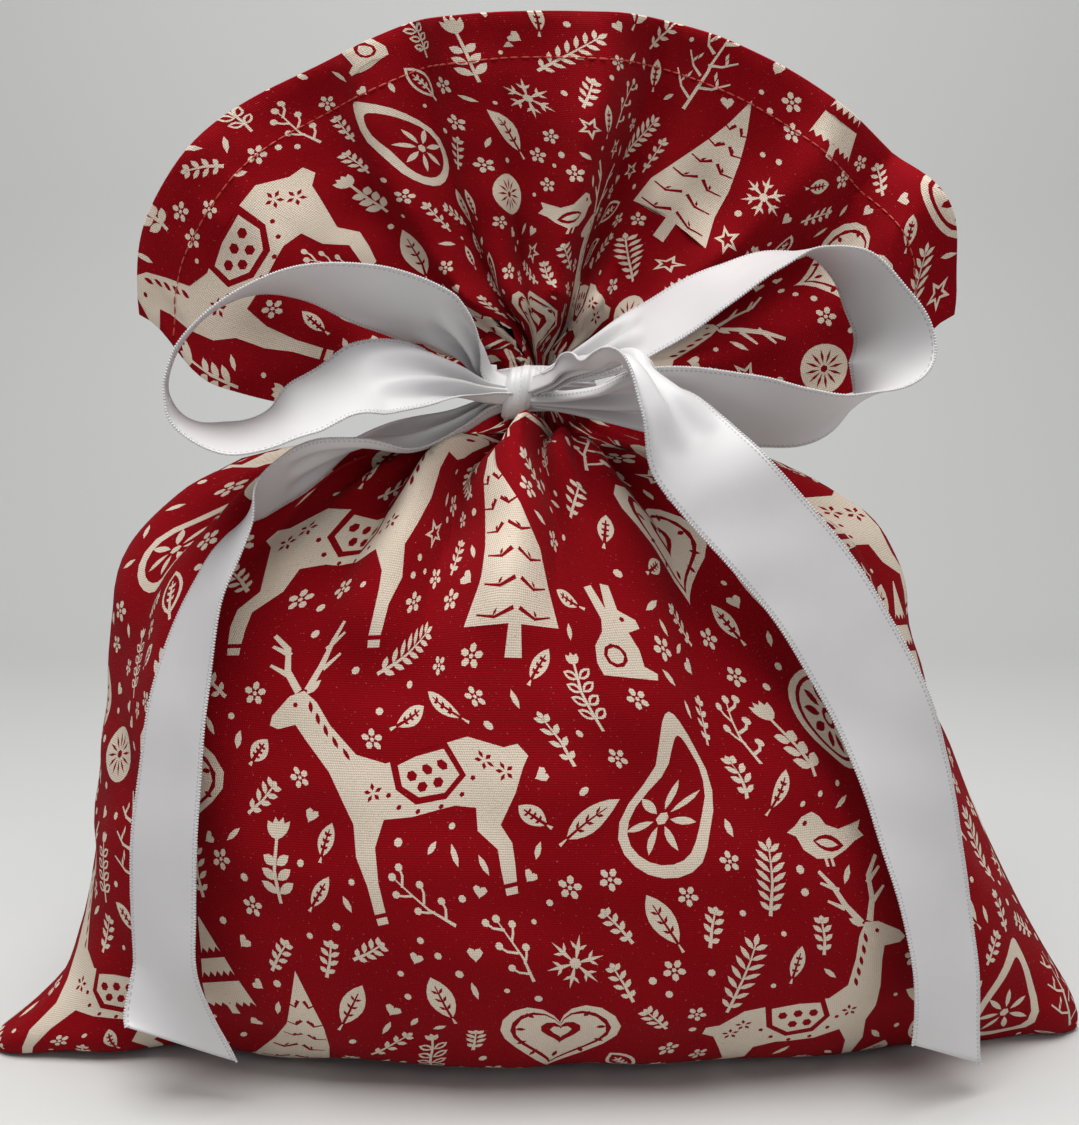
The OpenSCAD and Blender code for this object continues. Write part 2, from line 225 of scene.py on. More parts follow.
RIGHT_TAIL = [
    [3, -3, 1, 0.2, 0.8, -0.5, 0.1],
    [9, -10.5, 3.5, 0.2, 0.8, -0.5, 0.12],
    [13, -18.5, 6.5, 0.1, 0.9, -0.4, 0.28],
    [20, -26, 8, 0.1, 1, 0, 0.6],
    [28, -37, 8, 0.1, 1, 0.1, 0.8],
    [35, -42, -1, 0.5, 0.8, 0.3, 0.9],
    [42, -42, -13, 0.8, 0.4, 0.5, 1],
    [51, -44, -23, 0.9, 0.1, 0.5, 1],
    [62, -44, -35, 0.9, 0.1, 0.5, 1],
    [73, -43, -48, 0.9, 0.1, 0.5, 1],
    [82, -42, -62, 0.9, 0.1, 0.4, 1],
    [91, -41, -78, 0.9, 0.1, 0.4, 1],
    [98, -40, -96, 0.9, 0.3, 0.3, 1],
    [103, -39, -114, 0.9, 0.5, 0.2, 1],
    [108, -38, -133, 0.8, 0.6, 0.1, 1],
    [111, -37, -153, 0.8, 0.6, 0, 1],
    [112, -36, -176, 0.75, 0.5, 0, 1],
]


# Broad rolls of cloth: place at the neck and far end, first and last row, height, half width.
ROLLS = [
    [0.355, 0.345, 262, 374, 8.0, 12],
    [0.555, 0.575, 258, 372, 9.0, 11],
    [0.785, 0.795, 262, 374, 8.5, 13],
    [0.20, 0.17, 268, 350, 4.5, 12],
    [0.60, 0.645, 272, 374, -7.0, 12],
    [0.845, 0.87, 266, 360, -5.0, 12],
    [0.535, 0.505, 236, 168, 5.5, 10],
    [0.60, 0.565, 236, 176, 4.0, 8],
    [0.655, 0.62, 234, 140, 4.5, 12],
    [0.40, 0.375, 234, 160, 4.0, 12],
    [0.16, 0.18, 226, 130, 3.5, 14],
    [0.80, 0.825, 226, 110, 4.0, 16],
]


# ---------------------------------------------------------------- settings


class PouchClothSettings(bpy.types.PropertyGroup):
    thickness: FloatProperty(
        name="Cloth thickness",
        description="Thickness of one layer of the printed cotton",
        default=0.00045,
        unit="LENGTH",
    )
    weave_pitch: FloatProperty(
        name="Weave pitch",
        description="Distance between neighbouring yarns",
        default=0.0006,
        unit="LENGTH",
    )
    print_seed: IntProperty(
        name="Print seed", description="Seed of the printed pattern's layout", default=7
    )
    ink: FloatVectorProperty(
        name="Ink",
        description="Colour of the printed ground",
        default=(0.25, 0.0012, 0.0052),
        size=3,
        subtype="COLOR",
    )
    cotton: FloatVectorProperty(
        name="Cotton",
        description="Colour of the bare cotton",
        default=(0.73, 0.625, 0.505),
        size=3,
        subtype="COLOR",
    )


class PouchRibbonSettings(bpy.types.PropertyGroup):
    width: FloatProperty(
        name="Ribbon width",
        description="Width of the satin ribbon",
        default=0.025,
        unit="LENGTH",
    )
    thickness: FloatProperty(
        name="Ribbon thickness",
        description="Thickness of the satin ribbon",
        default=0.0003,
        unit="LENGTH",
    )
    picot_pitch: FloatProperty(
        name="Picot pitch",
        description="Distance between the small loops along the ribbon's edge",
        default=0.00075,
        unit="LENGTH",
    )
    satin: FloatVectorProperty(
        name="Satin",
        description="Colour of the ribbon",
        default=(0.59, 0.58, 0.585),
        size=3,
        subtype="COLOR",
    )


class PouchStitchSettings(bpy.types.PropertyGroup):
    pitch: FloatProperty(
        name="Stitch pitch",
        description="Length of one hem stitch with its gap",
        default=0.003,
        unit="LENGTH",
    )
    thread: FloatProperty(
        name="Thread diameter",
        description="Diameter of the sewing thread",
        default=0.0005,
        unit="LENGTH",
    )
    colour: FloatVectorProperty(
        name="Thread colour",
        description="Colour of the hem thread",
        default=(0.42, 0.03, 0.012),
        size=3,
        subtype="COLOR",
    )


class PouchStageSettings(bpy.types.PropertyGroup):
    tilt: FloatProperty(
        name="Camera elevation",
        description="How far the camera looks down",
        default=math.radians(7),
        subtype="ANGLE",
    )
    distance: FloatProperty(
        name="Camera distance",
        description="Distance from the camera to the middle of the pouch",
        default=0.45,
        unit="LENGTH",
    )
    floor: FloatVectorProperty(
        name="Floor",
        description="Colour of the floor and the backdrop",
        default=(0.585, 0.59, 0.58),
        size=3,
        subtype="COLOR",
    )


# ---------------------------------------------------------------- curves and meshes


def unit(vectors):
    return vectors / np.maximum(np.linalg.norm(vectors, axis=-1, keepdims=True), 1e-12)


def smooth_through(knots, values, at):
    """A smooth curve through the values at the knots, sampled at the given places."""
    knots, values = np.asarray(knots, float), np.asarray(values, float)
    slope = np.gradient(values, knots, axis=0)
    at = np.clip(at, knots[0], knots[-1])
    i = np.clip(np.searchsorted(knots, at, side="right") - 1, 0, len(knots) - 2)
    span = knots[i + 1] - knots[i]
    t = (at - knots[i]) / span
    if values.ndim > 1:
        t, span = t[:, None], span[:, None]
    return (
        (2 * t**3 - 3 * t**2 + 1) * values[i]
        + (t**3 - 2 * t**2 + t) * span * slope[i]
        + (3 * t**2 - 2 * t**3) * values[i + 1]
        + (t**3 - t**2) * span * slope[i + 1]
    )


def run_length(points):
    steps = np.linalg.norm(np.diff(points, axis=0), axis=-1)
    return np.concatenate([np.zeros((1,) + steps.shape[1:]), np.cumsum(steps, axis=0)])


def smooth_step(value):
    value = np.clip(value, 0, 1)
    return value * value * (3 - 2 * value)


def grid_normals(grid):
    return unit(np.cross(np.gradient(grid, axis=1), np.gradient(grid, axis=0)))


def ripples(a, b, seed, count, wavelength):
    """A smooth seeded roughness over two coordinates, of about unit size."""
    rng = np.random.default_rng(seed)
    total = np.zeros(np.broadcast(a, b).shape)
    for _ in range(count):
        turn, phase = rng.uniform(0, 2 * math.pi, 2)
        wave = 2 * math.pi / (wavelength * rng.uniform(0.6, 1.6))
        total += np.sin(wave * (a * math.cos(turn) + b * math.sin(turn)) + phase)
    return total / math.sqrt(count)


def add_piece(name, points, faces, materials, uv=None, slots=None, normals=None):
    """A mesh object at the origin, smooth shaded, with its UV map in metres."""
    mesh = bpy.data.meshes.new(name)
    mesh.from_pydata(np.asarray(points, float).tolist(), [], [list(f) for f in faces])
    for material in materials:
        mesh.materials.append(material)
    mesh.shade_smooth()
    if slots is not None:
        mesh.polygons.foreach_set("material_index", np.asarray(slots, np.int32))
    if uv is not None:
        corners = np.zeros(len(mesh.loops), np.int32)
        mesh.loops.foreach_get("vertex_index", corners)
        layer = mesh.uv_layers.new(name="Cut")
        layer.data.foreach_set("uv", np.asarray(uv, np.float32)[corners].ravel())
    if normals is not None:
        mesh.normals_split_custom_set_from_vertices(np.asarray(normals).tolist())
    mesh.update()
    piece = bpy.data.objects.new(name, mesh)
    bpy.context.scene.collection.objects.link(piece)
    return piece


def shell_of(grid, thickness):
    """Closed thin shell around a grid of points: its points and faces."""
    rows, columns = grid.shape[:2]
    offset = grid_normals(grid) * thickness / 2
    points = np.concatenate([(grid + offset).reshape(-1, 3), (grid - offset).reshape(-1, 3)])
    count = rows * columns
    faces = []
    for i in range(rows - 1):
        for j in range(columns - 1):
            a = i * columns + j
            ring = (a, a + 1, a + columns + 1, a + columns)
            faces.append(ring)
            faces.append(tuple(count + v for v in reversed(ring)))
    rim = (
        [j for j in range(columns - 1)]
        + [i * columns + columns - 1 for i in range(rows - 1)]
        + [(rows - 1) * columns + j for j in range(columns - 1, 0, -1)]
        + [i * columns for i in range(rows - 1, 0, -1)]
    )
    for a, b in zip(rim, rim[1:] + rim[:1]):
        faces.append((b, a, count + a, count + b))
    return points, faces


# ---------------------------------------------------------------- materials


def shade(colour, share, lift=0.0):
    """A darker or lighter tone of a colour."""
    return tuple(min(1, c * share + lift) for c in colour)


class Finish:
    """A small helper that builds the nodes of one material."""

    def __init__(self, name, colour, roughness):
        self.material = bpy.data.materials.new(name)
        self.material.use_nodes = True
        self.nodes = self.material.node_tree.nodes
        self.links = self.material.node_tree.links
        self.shader = self.nodes["Principled BSDF"]
        self.shader.inputs["Base Color"].default_value = (*colour, 1)
        self.shader.inputs["Roughness"].default_value = roughness
        self.material.diffuse_color = (*colour, 1)

    def node(self, kind, **values):
        made = self.nodes.new(kind)
        for key, value in values.items():
            if key in made.inputs:
                made.inputs[key].default_value = value
            else:
                setattr(made, key, value)
        return made

    def link(self, source, target):
        self.links.new(source, target)

    def maths(self, operation, *values):
        made = self.nodes.new("ShaderNodeMath")
        made.operation = operation
        for socket, value in zip(made.inputs, values):
            if isinstance(value, (int, float)):
                socket.default_value = value
            else:
                self.link(value, socket)
        return made.outputs[0]

    def mix(self, share, low, high):
        made = self.nodes.new("ShaderNodeMix")
        made.data_type = "RGBA"
        for key, value in (("Factor", share), ("A", low), ("B", high)):
            socket = [s for s in made.inputs if s.name == key and s.enabled][0]
            if isinstance(value, (int, float)):
                socket.default_value = value
            elif isinstance(value, tuple):
                socket.default_value = (*value, 1)
            else:
                self.link(value, socket)
        return [s for s in made.outputs if s.enabled][0]

    def bump(self, height, strength, distance):
        made = self.node("ShaderNodeBump", Strength=strength, Distance=distance)
        self.link(height, made.inputs["Height"])
        self.link(made.outputs["Normal"], self.shader.inputs["Normal"])

    def noise(self, vector, scale, detail=2.0):
        made = self.node("ShaderNodeTexNoise", Scale=scale, Detail=detail)
        self.link(vector, made.inputs["Vector"])
        return made.outputs["Fac"]

    def coat(self, shown, values):
        """Links the colour and sets constants on the shader's own sockets."""
        self.link(shown, self.shader.inputs["Base Color"])
        for label, value in values.items():
            self.shader.inputs[label].default_value = value

    def cut_map(self):
        return self.node("ShaderNodeTexCoord").outputs["UV"]

    def place(self):
        return self.node("ShaderNodeTexCoord").outputs["Object"]


def cotton_finish(name, colour, ink, pitch):
    """Plain weave cotton, bare with dark flecks or filled with printing ink."""
    finish = Finish(name, colour, 0.86)
    cut = finish.cut_map()
    split = finish.node("ShaderNodeSeparateXYZ")
    finish.link(cut, split.inputs[0])
    drift = finish.maths("MULTIPLY", finish.noise(cut, 260.0), 0.9)
    across = finish.maths("MULTIPLY", split.outputs["X"], math.pi / pitch)
    along = finish.maths("MULTIPLY", split.outputs["Y"], math.pi / pitch)
    warp = finish.maths("ABSOLUTE", finish.maths("SINE", finish.maths("ADD", across, drift)))
    weft = finish.maths("ABSOLUTE", finish.maths("SINE", finish.maths("ADD", along, drift)))
    weave = finish.maths("MULTIPLY", warp, weft)
    slub = finish.noise(cut, 900.0, 3.0)
    height = finish.maths("ADD", weave, finish.maths("MULTIPLY", slub, 0.8))
    finish.bump(height, 0.55, 0.00022)
    cloudy = finish.noise(cut, 22.0, 3.0)
    base = finish.mix(cloudy, shade(colour, 0.78), shade(colour, 1.12, 0.004))
    if ink:
        # Painted shade: the gaps between the yarns are darker where the weave's bump is low, standing in for
        # shade in the hollows and holes of the weave.
        gap = finish.maths("MULTIPLY", finish.maths("SUBTRACT", 1.0, weave), 0.3)
        shown = finish.mix(gap, base, shade(colour, 0.5))
        specks = finish.maths("GREATER_THAN", finish.noise(cut, 1500.0, 1.0), 0.74)
        shown = finish.mix(finish.maths("MULTIPLY", specks, 0.35), shown, (0.62, 0.22, 0.2))
    else:
        # Painted shade: the gaps between the yarns are darker where the weave's bump is low, standing in for
        # shade in the hollows and holes of the weave.
        gap = finish.maths("MULTIPLY", finish.maths("SUBTRACT", 1.0, weave), 0.42)
        shown = finish.mix(gap, base, shade(colour, 0.58))
        stretch = finish.node("ShaderNodeMapping")
        stretch.inputs["Scale"].default_value = (900, 2600, 1)
        finish.link(cut, stretch.inputs["Vector"])
        fleck = finish.node("ShaderNodeTexNoise", Scale=1.0, Detail=1.0)
        finish.link(stretch.outputs[0], fleck.inputs["Vector"])
        flecks = finish.maths("GREATER_THAN", fleck.outputs["Fac"], 0.735)
        shown = finish.mix(finish.maths("MULTIPLY", flecks, 0.55), shown, (0.16, 0.09, 0.045))
    sheen, gloss = (0.015, 0.03) if ink else (0.05, 0.1)
    finish.coat(shown, {"Sheen Weight": sheen, "Sheen Roughness": 0.5, "Specular IOR Level": gloss})
    return finish.material


def satin_finish(name, colour, width):
    """Polyester satin: fine slanted floats, a soft lengthwise gloss and faint mottling."""
    finish = Finish(name, colour, 0.42)
    cut = finish.cut_map()
    split = finish.node("ShaderNodeSeparateXYZ")
    finish.link(cut, split.inputs[0])
    rise = finish.maths("MULTIPLY", split.outputs["Y"], 0.8)
    slant = finish.maths("ADD", split.outputs["X"], rise)
    floats = finish.maths("SINE", finish.maths("MULTIPLY", slant, 2 * math.pi / 0.00055))
    yarns = finish.maths("SINE", finish.maths("MULTIPLY", split.outputs["X"], 2 * math.pi / 0.00032))
    grain = finish.maths("MULTIPLY", finish.maths("ADD", floats, yarns), 0.5)
    finish.bump(grain, 0.16, 0.00006)
    mottle = finish.noise(cut, 60.0, 3.0)
    shown = finish.mix(mottle, shade(colour, 0.93), shade(colour, 1.03))
    # Dots just inside each edge mark the picot holes; their dark tone is painted shade in the holes.
    side = finish.maths("ABSOLUTE", split.outputs["X"])
    border = finish.maths("COMPARE", side, width / 2 - 0.0009, 0.00022)
    hole = finish.maths("SINE", finish.maths("MULTIPLY", split.outputs["Y"], 2 * math.pi / 0.0012))
    holes = finish.maths("MULTIPLY", border, finish.maths("GREATER_THAN", hole, -0.1))
    shown = finish.mix(finish.maths("MULTIPLY", holes, 0.6), shown, shade(colour, 0.42))
    gloss = {"Specular IOR Level": 0.5, "Anisotropic": 0.5}
    finish.coat(shown, {"Sheen Weight": 0.08, "Sheen Roughness": 0.35, **gloss})
    return finish.material


def thread_finish(name, colour):
    """Twisted sewing thread."""
    finish = Finish(name, colour, 0.55)
    fibre = finish.noise(finish.place(), 2400.0, 2.0)
    # The colour follows the fibres' bump: painted shade between the fibres and painted highlight on their
    # tops.
    finish.coat(finish.mix(fibre, shade(colour, 0.6), shade(colour, 1.35)), {"Sheen Weight": 0.2})
    finish.bump(fibre, 0.4, 0.0001)
    return finish.material


def paper_finish(name, colour):
    """Crumpled tissue paper."""
    finish = Finish(name, colour, 0.75)
    crumple = finish.noise(finish.place(), 45.0, 5.0)
    # Painted shade: the paper is darker in the hollows of the crumples, following the same noise as the
    # bump.
    finish.coat(finish.mix(crumple, shade(colour, 0.85), colour), {})
    finish.bump(crumple, 0.6, 0.002)
    return finish.material


def floor_finish(name, colour):
    """Matt paper sweep with a very faint tooth."""
    finish = Finish(name, colour, 0.6)
    tooth = finish.noise(finish.place(), 900.0, 2.0)
    finish.bump(tooth, 0.05, 0.0002)
    cloudy = finish.noise(finish.place(), 1.5, 1.0)
    finish.coat(finish.mix(cloudy, shade(colour, 0.97), shade(colour, 1.03)), {})
    return finish.material


# ---------------------------------------------------------------- printed motifs
# A motif is a list of (outline, tone) in millimetres around its middle. Tone 1 is
# bare cotton and tone 0 is the red ground, and later outlines lie on earlier ones.


def placed(outline, x=0.0, y=0.0, turn=0.0, size=1.0):
    c, s = math.cos(turn) * size, math.sin(turn) * size
    outline = np.asarray(outline, float)
    return outline @ np.array([[c, s], [-s, c]]) + (x, y)


def lens(length, width, sides=3):
    """A pointed leaf that stands on the origin."""
    t = np.linspace(0, 1, sides + 2)
    half = width / 2 * np.sin(math.pi * t) ** 0.8
    up = np.stack([-half, t * length], 1)[:-1]
    down = np.stack([half, t * length], 1)[:0:-1]
    return np.concatenate([up, down])


def disc(radius, sides=10, stretch=1.0):
    a = np.linspace(0, 2 * math.pi, sides, endpoint=False)
    return np.stack([radius * np.cos(a), radius * stretch * np.sin(a)], 1)


def stroke(points, width, tip=0.35):
    """A line drawn with a pen that thins towards its end."""
    points = np.asarray(points, float)
    along = unit(np.gradient(points, axis=0))
    side = np.stack([-along[:, 1], along[:, 0]], 1)
    half = (np.linspace(1, tip, len(points)) * width / 2)[:, None]
    return np.concatenate([points + side * half, (points - side * half)[::-1]])


def fern(length=20.0, pairs=7, width=8.0, lean=0.9):
    parts = [(stroke([(0, -length / 2), (0.3, 0), (0, length / 2)], 1.0), 1)]
    for i in range(pairs):
        t = (i + 0.6) / pairs
        y = length * (t - 0.5)
        reach = width / 2 * (0.45 + 0.75 * math.sin(math.pi * (0.15 + 0.75 * (1 - t))))
        for side in (-1, 1):
            parts.append((placed(lens(reach, 1.5, 2), 0.15 * side, y, -side * lean), 1))
    parts.append((placed(lens(length * 0.16, 1.6, 2), 0, length / 2 - 0.4), 1))
    return parts


def veined_leaf(length=18.0, width=8.0):
    parts = [(placed(lens(length, width, 6), 0, -length / 2), 1)]
    parts.append((stroke([(0, -length * 0.62), (0, 0), (0, length * 0.3)], 0.9), 0))
    for i in range(3):
        y = length * (-0.28 + 0.19 * i)
        for side in (-1, 1):
            parts.append((placed(lens(width * 0.34, 0.9, 1), 0, y, -side * 0.8), 0))
    parts.append((stroke([(0, -length * 0.66), (0, -length * 0.5)], 0.9), 1))
    return parts


def ringed_leaf(length=17.0, width=8.0):
    parts = [(placed(lens(length, width, 6), 0, -length / 2), 1)]
    parts.append((placed(lens(length * 0.82, width * 0.74, 6), 0, -length * 0.41), 0))
    parts.append((stroke([(0, -length * 0.6), (0, 0), (0, length * 0.26)], 0.9), 1))
    for i in range(3):
        for side in (-1, 1):
            at = length * (-0.2 + 0.14 * i)
            parts.append((placed(lens(width * 0.28, 1.0, 1), 0, at, -side * 0.7), 1))
    return parts


def blossom(radius=3.0, petals=5):
    parts = []
    for i in range(petals):
        a = 2 * math.pi * i / petals
        reach = radius * 0.62
        petal = disc(radius * 0.36, 6, 0.8)
        parts.append((placed(petal, reach * math.cos(a), reach * math.sin(a), a), 1))
    parts.append((disc(radius * 0.2, 5), 1))
    return parts


def star(radius=4.0, points=5, waist=0.42):
    a = np.arange(2 * points) * math.pi / points + math.pi / 2
    r = np.where(np.arange(2 * points) % 2, radius * waist, radius)
    return np.stack([r * np.cos(a), r * np.sin(a)], 1)


def ringed_star(radius=4.5, points=5):
    return [(star(radius, points), 1), (star(radius * 0.55, points), 0)]


def sunburst(radius=8.0, rays=12):
    parts = [(disc(radius, 22), 1), (disc(radius * 0.16, 6), 0)]
    for i in range(rays):
        a = 2 * math.pi * i / rays
        ray = placed(lens(radius * 0.62, 0.9, 1), 0, radius * 0.2)
        parts.append((placed(ray, turn=a), 0))
    return parts


def frost_wheel(radius=7.0):
    parts = []
    for i in range(6):
        a = 2 * math.pi * i / 6
        parts.append((placed(lens(radius, 1.2, 1), turn=a), 1))
        for side in (-1, 1):
            twig = placed(lens(radius * 0.38, 0.9, 1), 0, radius * 0.45, side * 0.8)
            parts.append((placed(twig, turn=a), 1))
    parts.append((disc(radius * 0.2, 6), 1))
    return parts


def heart_line(size=4.0, sides=16):
    a = np.linspace(0, 2 * math.pi, sides, endpoint=False)
    x = 16 * np.sin(a) ** 3
    y = 13 * np.cos(a) - 5 * np.cos(2 * a) - 2 * np.cos(3 * a) - np.cos(4 * a)
    return np.stack([x, y], 1) * size / 17


def small_heart(size=2.2):
    return [(heart_line(size, 12), 1)]


def folk_heart(size=11.0):
    parts = [(heart_line(size, 28), 1), (heart_line(size * 0.84, 28), 0)]
    parts.append((heart_line(size * 0.76, 26), 1))
    parts.append((placed(heart_line(size * 0.34, 18), 0, size * 0.1), 0))
    parts.append((placed(heart_line(size * 0.18, 12), 0, size * 0.1), 1))
    for i in range(9):
        a = math.pi * (0.12 + 0.095 * i) * 2 + math.pi / 2
        x, y = size * 0.56 * math.cos(a), size * 0.52 * math.sin(a) + size * 0.08
        parts.append((placed(lens(size * 0.17, 1.4, 2), x, y, a - math.pi / 2), 0))
    return parts


def looped_sprig(length=18.0, pairs=4):
    """A stem with outlined loop leaves and a small crown."""
    parts = [(stroke([(0, -length / 2), (0.4, 0), (0, length * 0.38)], 0.8, 0.8), 1)]
    for i in range(pairs):
        y = length * (-0.34 + 0.17 * i)
        for side in (-1, 1):
            leaf = lens(length * 0.22, 2.4, 3)
            parts.append((placed(leaf, 0.1 * side, y, -side * 1.0), 1))
            hole = placed(lens(length * 0.15, 1.1, 2), 0, length * 0.035)
            parts.append((placed(hole, 0.1 * side, y, -side * 1.0), 0))
    for a in (-0.55, 0, 0.55):
        parts.append((placed(lens(length * 0.17, 1.7, 2), 0, length * 0.36, a), 1))
    return parts


def fir(height=34.0, width=19.0):
    t = np.linspace(0, 1, 6)
    side = [(width / 2 * s, height * (0.5 - s)) for s in t]
    body = side + [(-x, y) for x, y in side[::-1][:-1]]
    body[0] = (0.35, height * 0.5)
    parts = [(np.array(body), 1)]
    trunk = [(-1.6, -height * 0.48), (1.6, -height * 0.48), (2.2, -height * 0.66), (-2.2, -height * 0.66)]
    parts.append((np.array(trunk), 1))
    for i in range(6):
        y = height * (0.3 - 0.145 * i)
        reach = width * 0.4 * (0.34 + 0.125 * i)
        for way in (-1, 1):
            line = [(way * 0.8, y), (way * reach * 0.5, y - 2.2), (way * reach, y - 1.2)]
            parts.append((stroke(line, 1.1, 0.4), 0))
            parts.append((placed(lens(2.2, 0.8, 1), way * reach * 0.55, y - 2.0, way * 0.5), 0))
    return parts


def banded_fir(height=26.0, width=17.0):
    parts = []
    for i, (top, low) in enumerate(((0.5, 0.12), (0.06, -0.14), (-0.2, -0.5))):
        half_top = width / 2 * (0.5 - top) + 0.2
        half_low = width / 2 * (0.5 - low)
        count = 3 + 2 * i
        edge = []
        for j in range(count + 1):
            x = half_low * (1 - 2 * j / count)
            edge.append((x, height * low))
            if j < count:
                edge.append((x - half_low / count, height * low + 1.6))
        outline = [(-half_top, height * top), (half_top, height * top)] + edge
        parts.append((np.array(outline), 1))
    trunk = [(-1.3, -height * 0.46), (1.3, -height * 0.46), (1.3, -height * 0.62), (-1.3, -height * 0.62)]
    parts.append((np.array(trunk), 1))
    return parts


def tulip(height=20.0):
    parts = [(stroke([(0, -height / 2), (0.5, -height * 0.1), (0, height * 0.26)], 1.0, 0.8), 1)]
    for side in (-1, 1):
        for i in range(3):
            at = height * (-0.38 + 0.17 * i)
            leaf = lens(height * (0.25 - 0.03 * i), 2.6, 3)
            parts.append((placed(leaf, 0.2 * side, at, -side * 0.95), 1))
    for a in (-0.6, -0.2, 0.2, 0.6):
        parts.append((placed(lens(height * 0.26, 2.3, 3), 0, height * 0.24, a), 1))
    return parts


def berry_twig(length=18.0):
    parts = [(stroke([(0, -length / 2), (1.0, -length * 0.1), (0, length / 2)], 0.9), 1)]
    for i in range(5):
        y = length * (-0.36 + 0.18 * i)
        side = 1 if i % 2 else -1
        line = [(0.5, y), (side * 2.0, y + 1.6), (side * 2.8, y + 2.9)]
        parts.append((stroke(line, 0.7, 0.8), 1))
        parts.append((placed(disc(1.05, 7), side * 3.1, y + 3.6), 1))
    parts.append((placed(disc(1.1, 7), 0, length / 2 + 0.9), 1))
    return parts


def bare_twig(length=30.0):
    """A leafless branch with forked side shoots."""
    parts = [(stroke([(0, -length / 2), (1.2, 0), (-0.6, length / 2)], 1.3), 1)]
    for i in range(6):
        y = length * (-0.36 + 0.14 * i)
        side = 1 if i % 2 else -1
        reach = length * (0.3 - 0.025 * i)
        end = (side * reach, y + reach * 0.8)
        bend = (side * reach * 0.55, y + reach * 0.25)
        parts.append((stroke([(side * 0.3, y), bend, end], 1.0, 0.5), 1))
        for k in (0.5, 0.95):
            at = (bend[0] * (1.5 - k * 0.6), y + reach * (0.1 + 0.5 * k))
            parts.append((placed(lens(reach * 0.42, 0.9, 1), at[0], at[1], side * 0.25), 1))
    return parts


def paisley(size=16.0):
    t = np.linspace(0, 2 * math.pi, 26, endpoint=False)
    r = size * (0.5 + 0.04 * np.cos(t))
    x = r * np.cos(t) * (0.62 - 0.3 * np.sin(t))
    y = r * np.sin(t) * 1.1
    x = x + 0.32 * size * np.clip(y / size, 0, 1) ** 1.6
    outline = np.stack([x, y], 1)
    parts = [(outline, 1), (outline * 0.78 + (0, -size * 0.03), 0)]
    for i in range(7):
        a = 2 * math.pi * i / 7
        petal = placed(lens(size * 0.2, 2.0, 3), 0, size * 0.06)
        parts.append((placed(petal, 0, -size * 0.14, a), 1))
    parts.append((placed(disc(size * 0.045, 6), 0, -size * 0.14), 1))
    return parts


def rosette(radius=11.0):
    parts = [(disc(radius, 30), 1), (disc(radius * 0.86, 30), 0), (disc(radius * 0.78, 28), 1)]
    for i in range(10):
        a = 2 * math.pi * i / 10
        petal = placed(lens(radius * 0.42, radius * 0.2, 3), 0, radius * 0.3)
        parts.append((placed(petal, turn=a), 0))
    parts.append((disc(radius * 0.22, 10), 0))
    parts.append((disc(radius * 0.12, 8), 1))
    return parts


def songbird(size=15.0):
    """A plain small bird with a folk wing."""
    body = [
        (-9, 1.5), (-7.2, 2.8), (-6.2, 4.6), (-4, 5.6), (-1.6, 4.6), (0.6, 2.8), (4, 1.8),
        (9.6, 3.4), (9.0, 1.6), (10.4, 0.2), (7.8, -0.8), (5, -2.6), (1.6, -4.2), (-2.4, -4.2),
        (-5.2, -2.2), (-6.6, 0.6),
    ]
    parts = [(np.array(body) * size / 18, 1)]
    parts.append((placed(lens(size * 0.42, size * 0.2, 4), -size * 0.14, -size * 0.02, -1.75), 0))
    parts.append((placed(lens(size * 0.3, size * 0.1, 3), -size * 0.1, -size * 0.03, -1.75), 1))
    parts.append((placed(disc(size * 0.035, 6), -size * 0.27, size * 0.18), 0))
    for x in (-0.02, 0.06):
        leg = [(size * x, -size * 0.2), (size * (x + 0.01), -size * 0.33)]
        parts.append((stroke(leg, 0.8, 1), 1))
    return parts


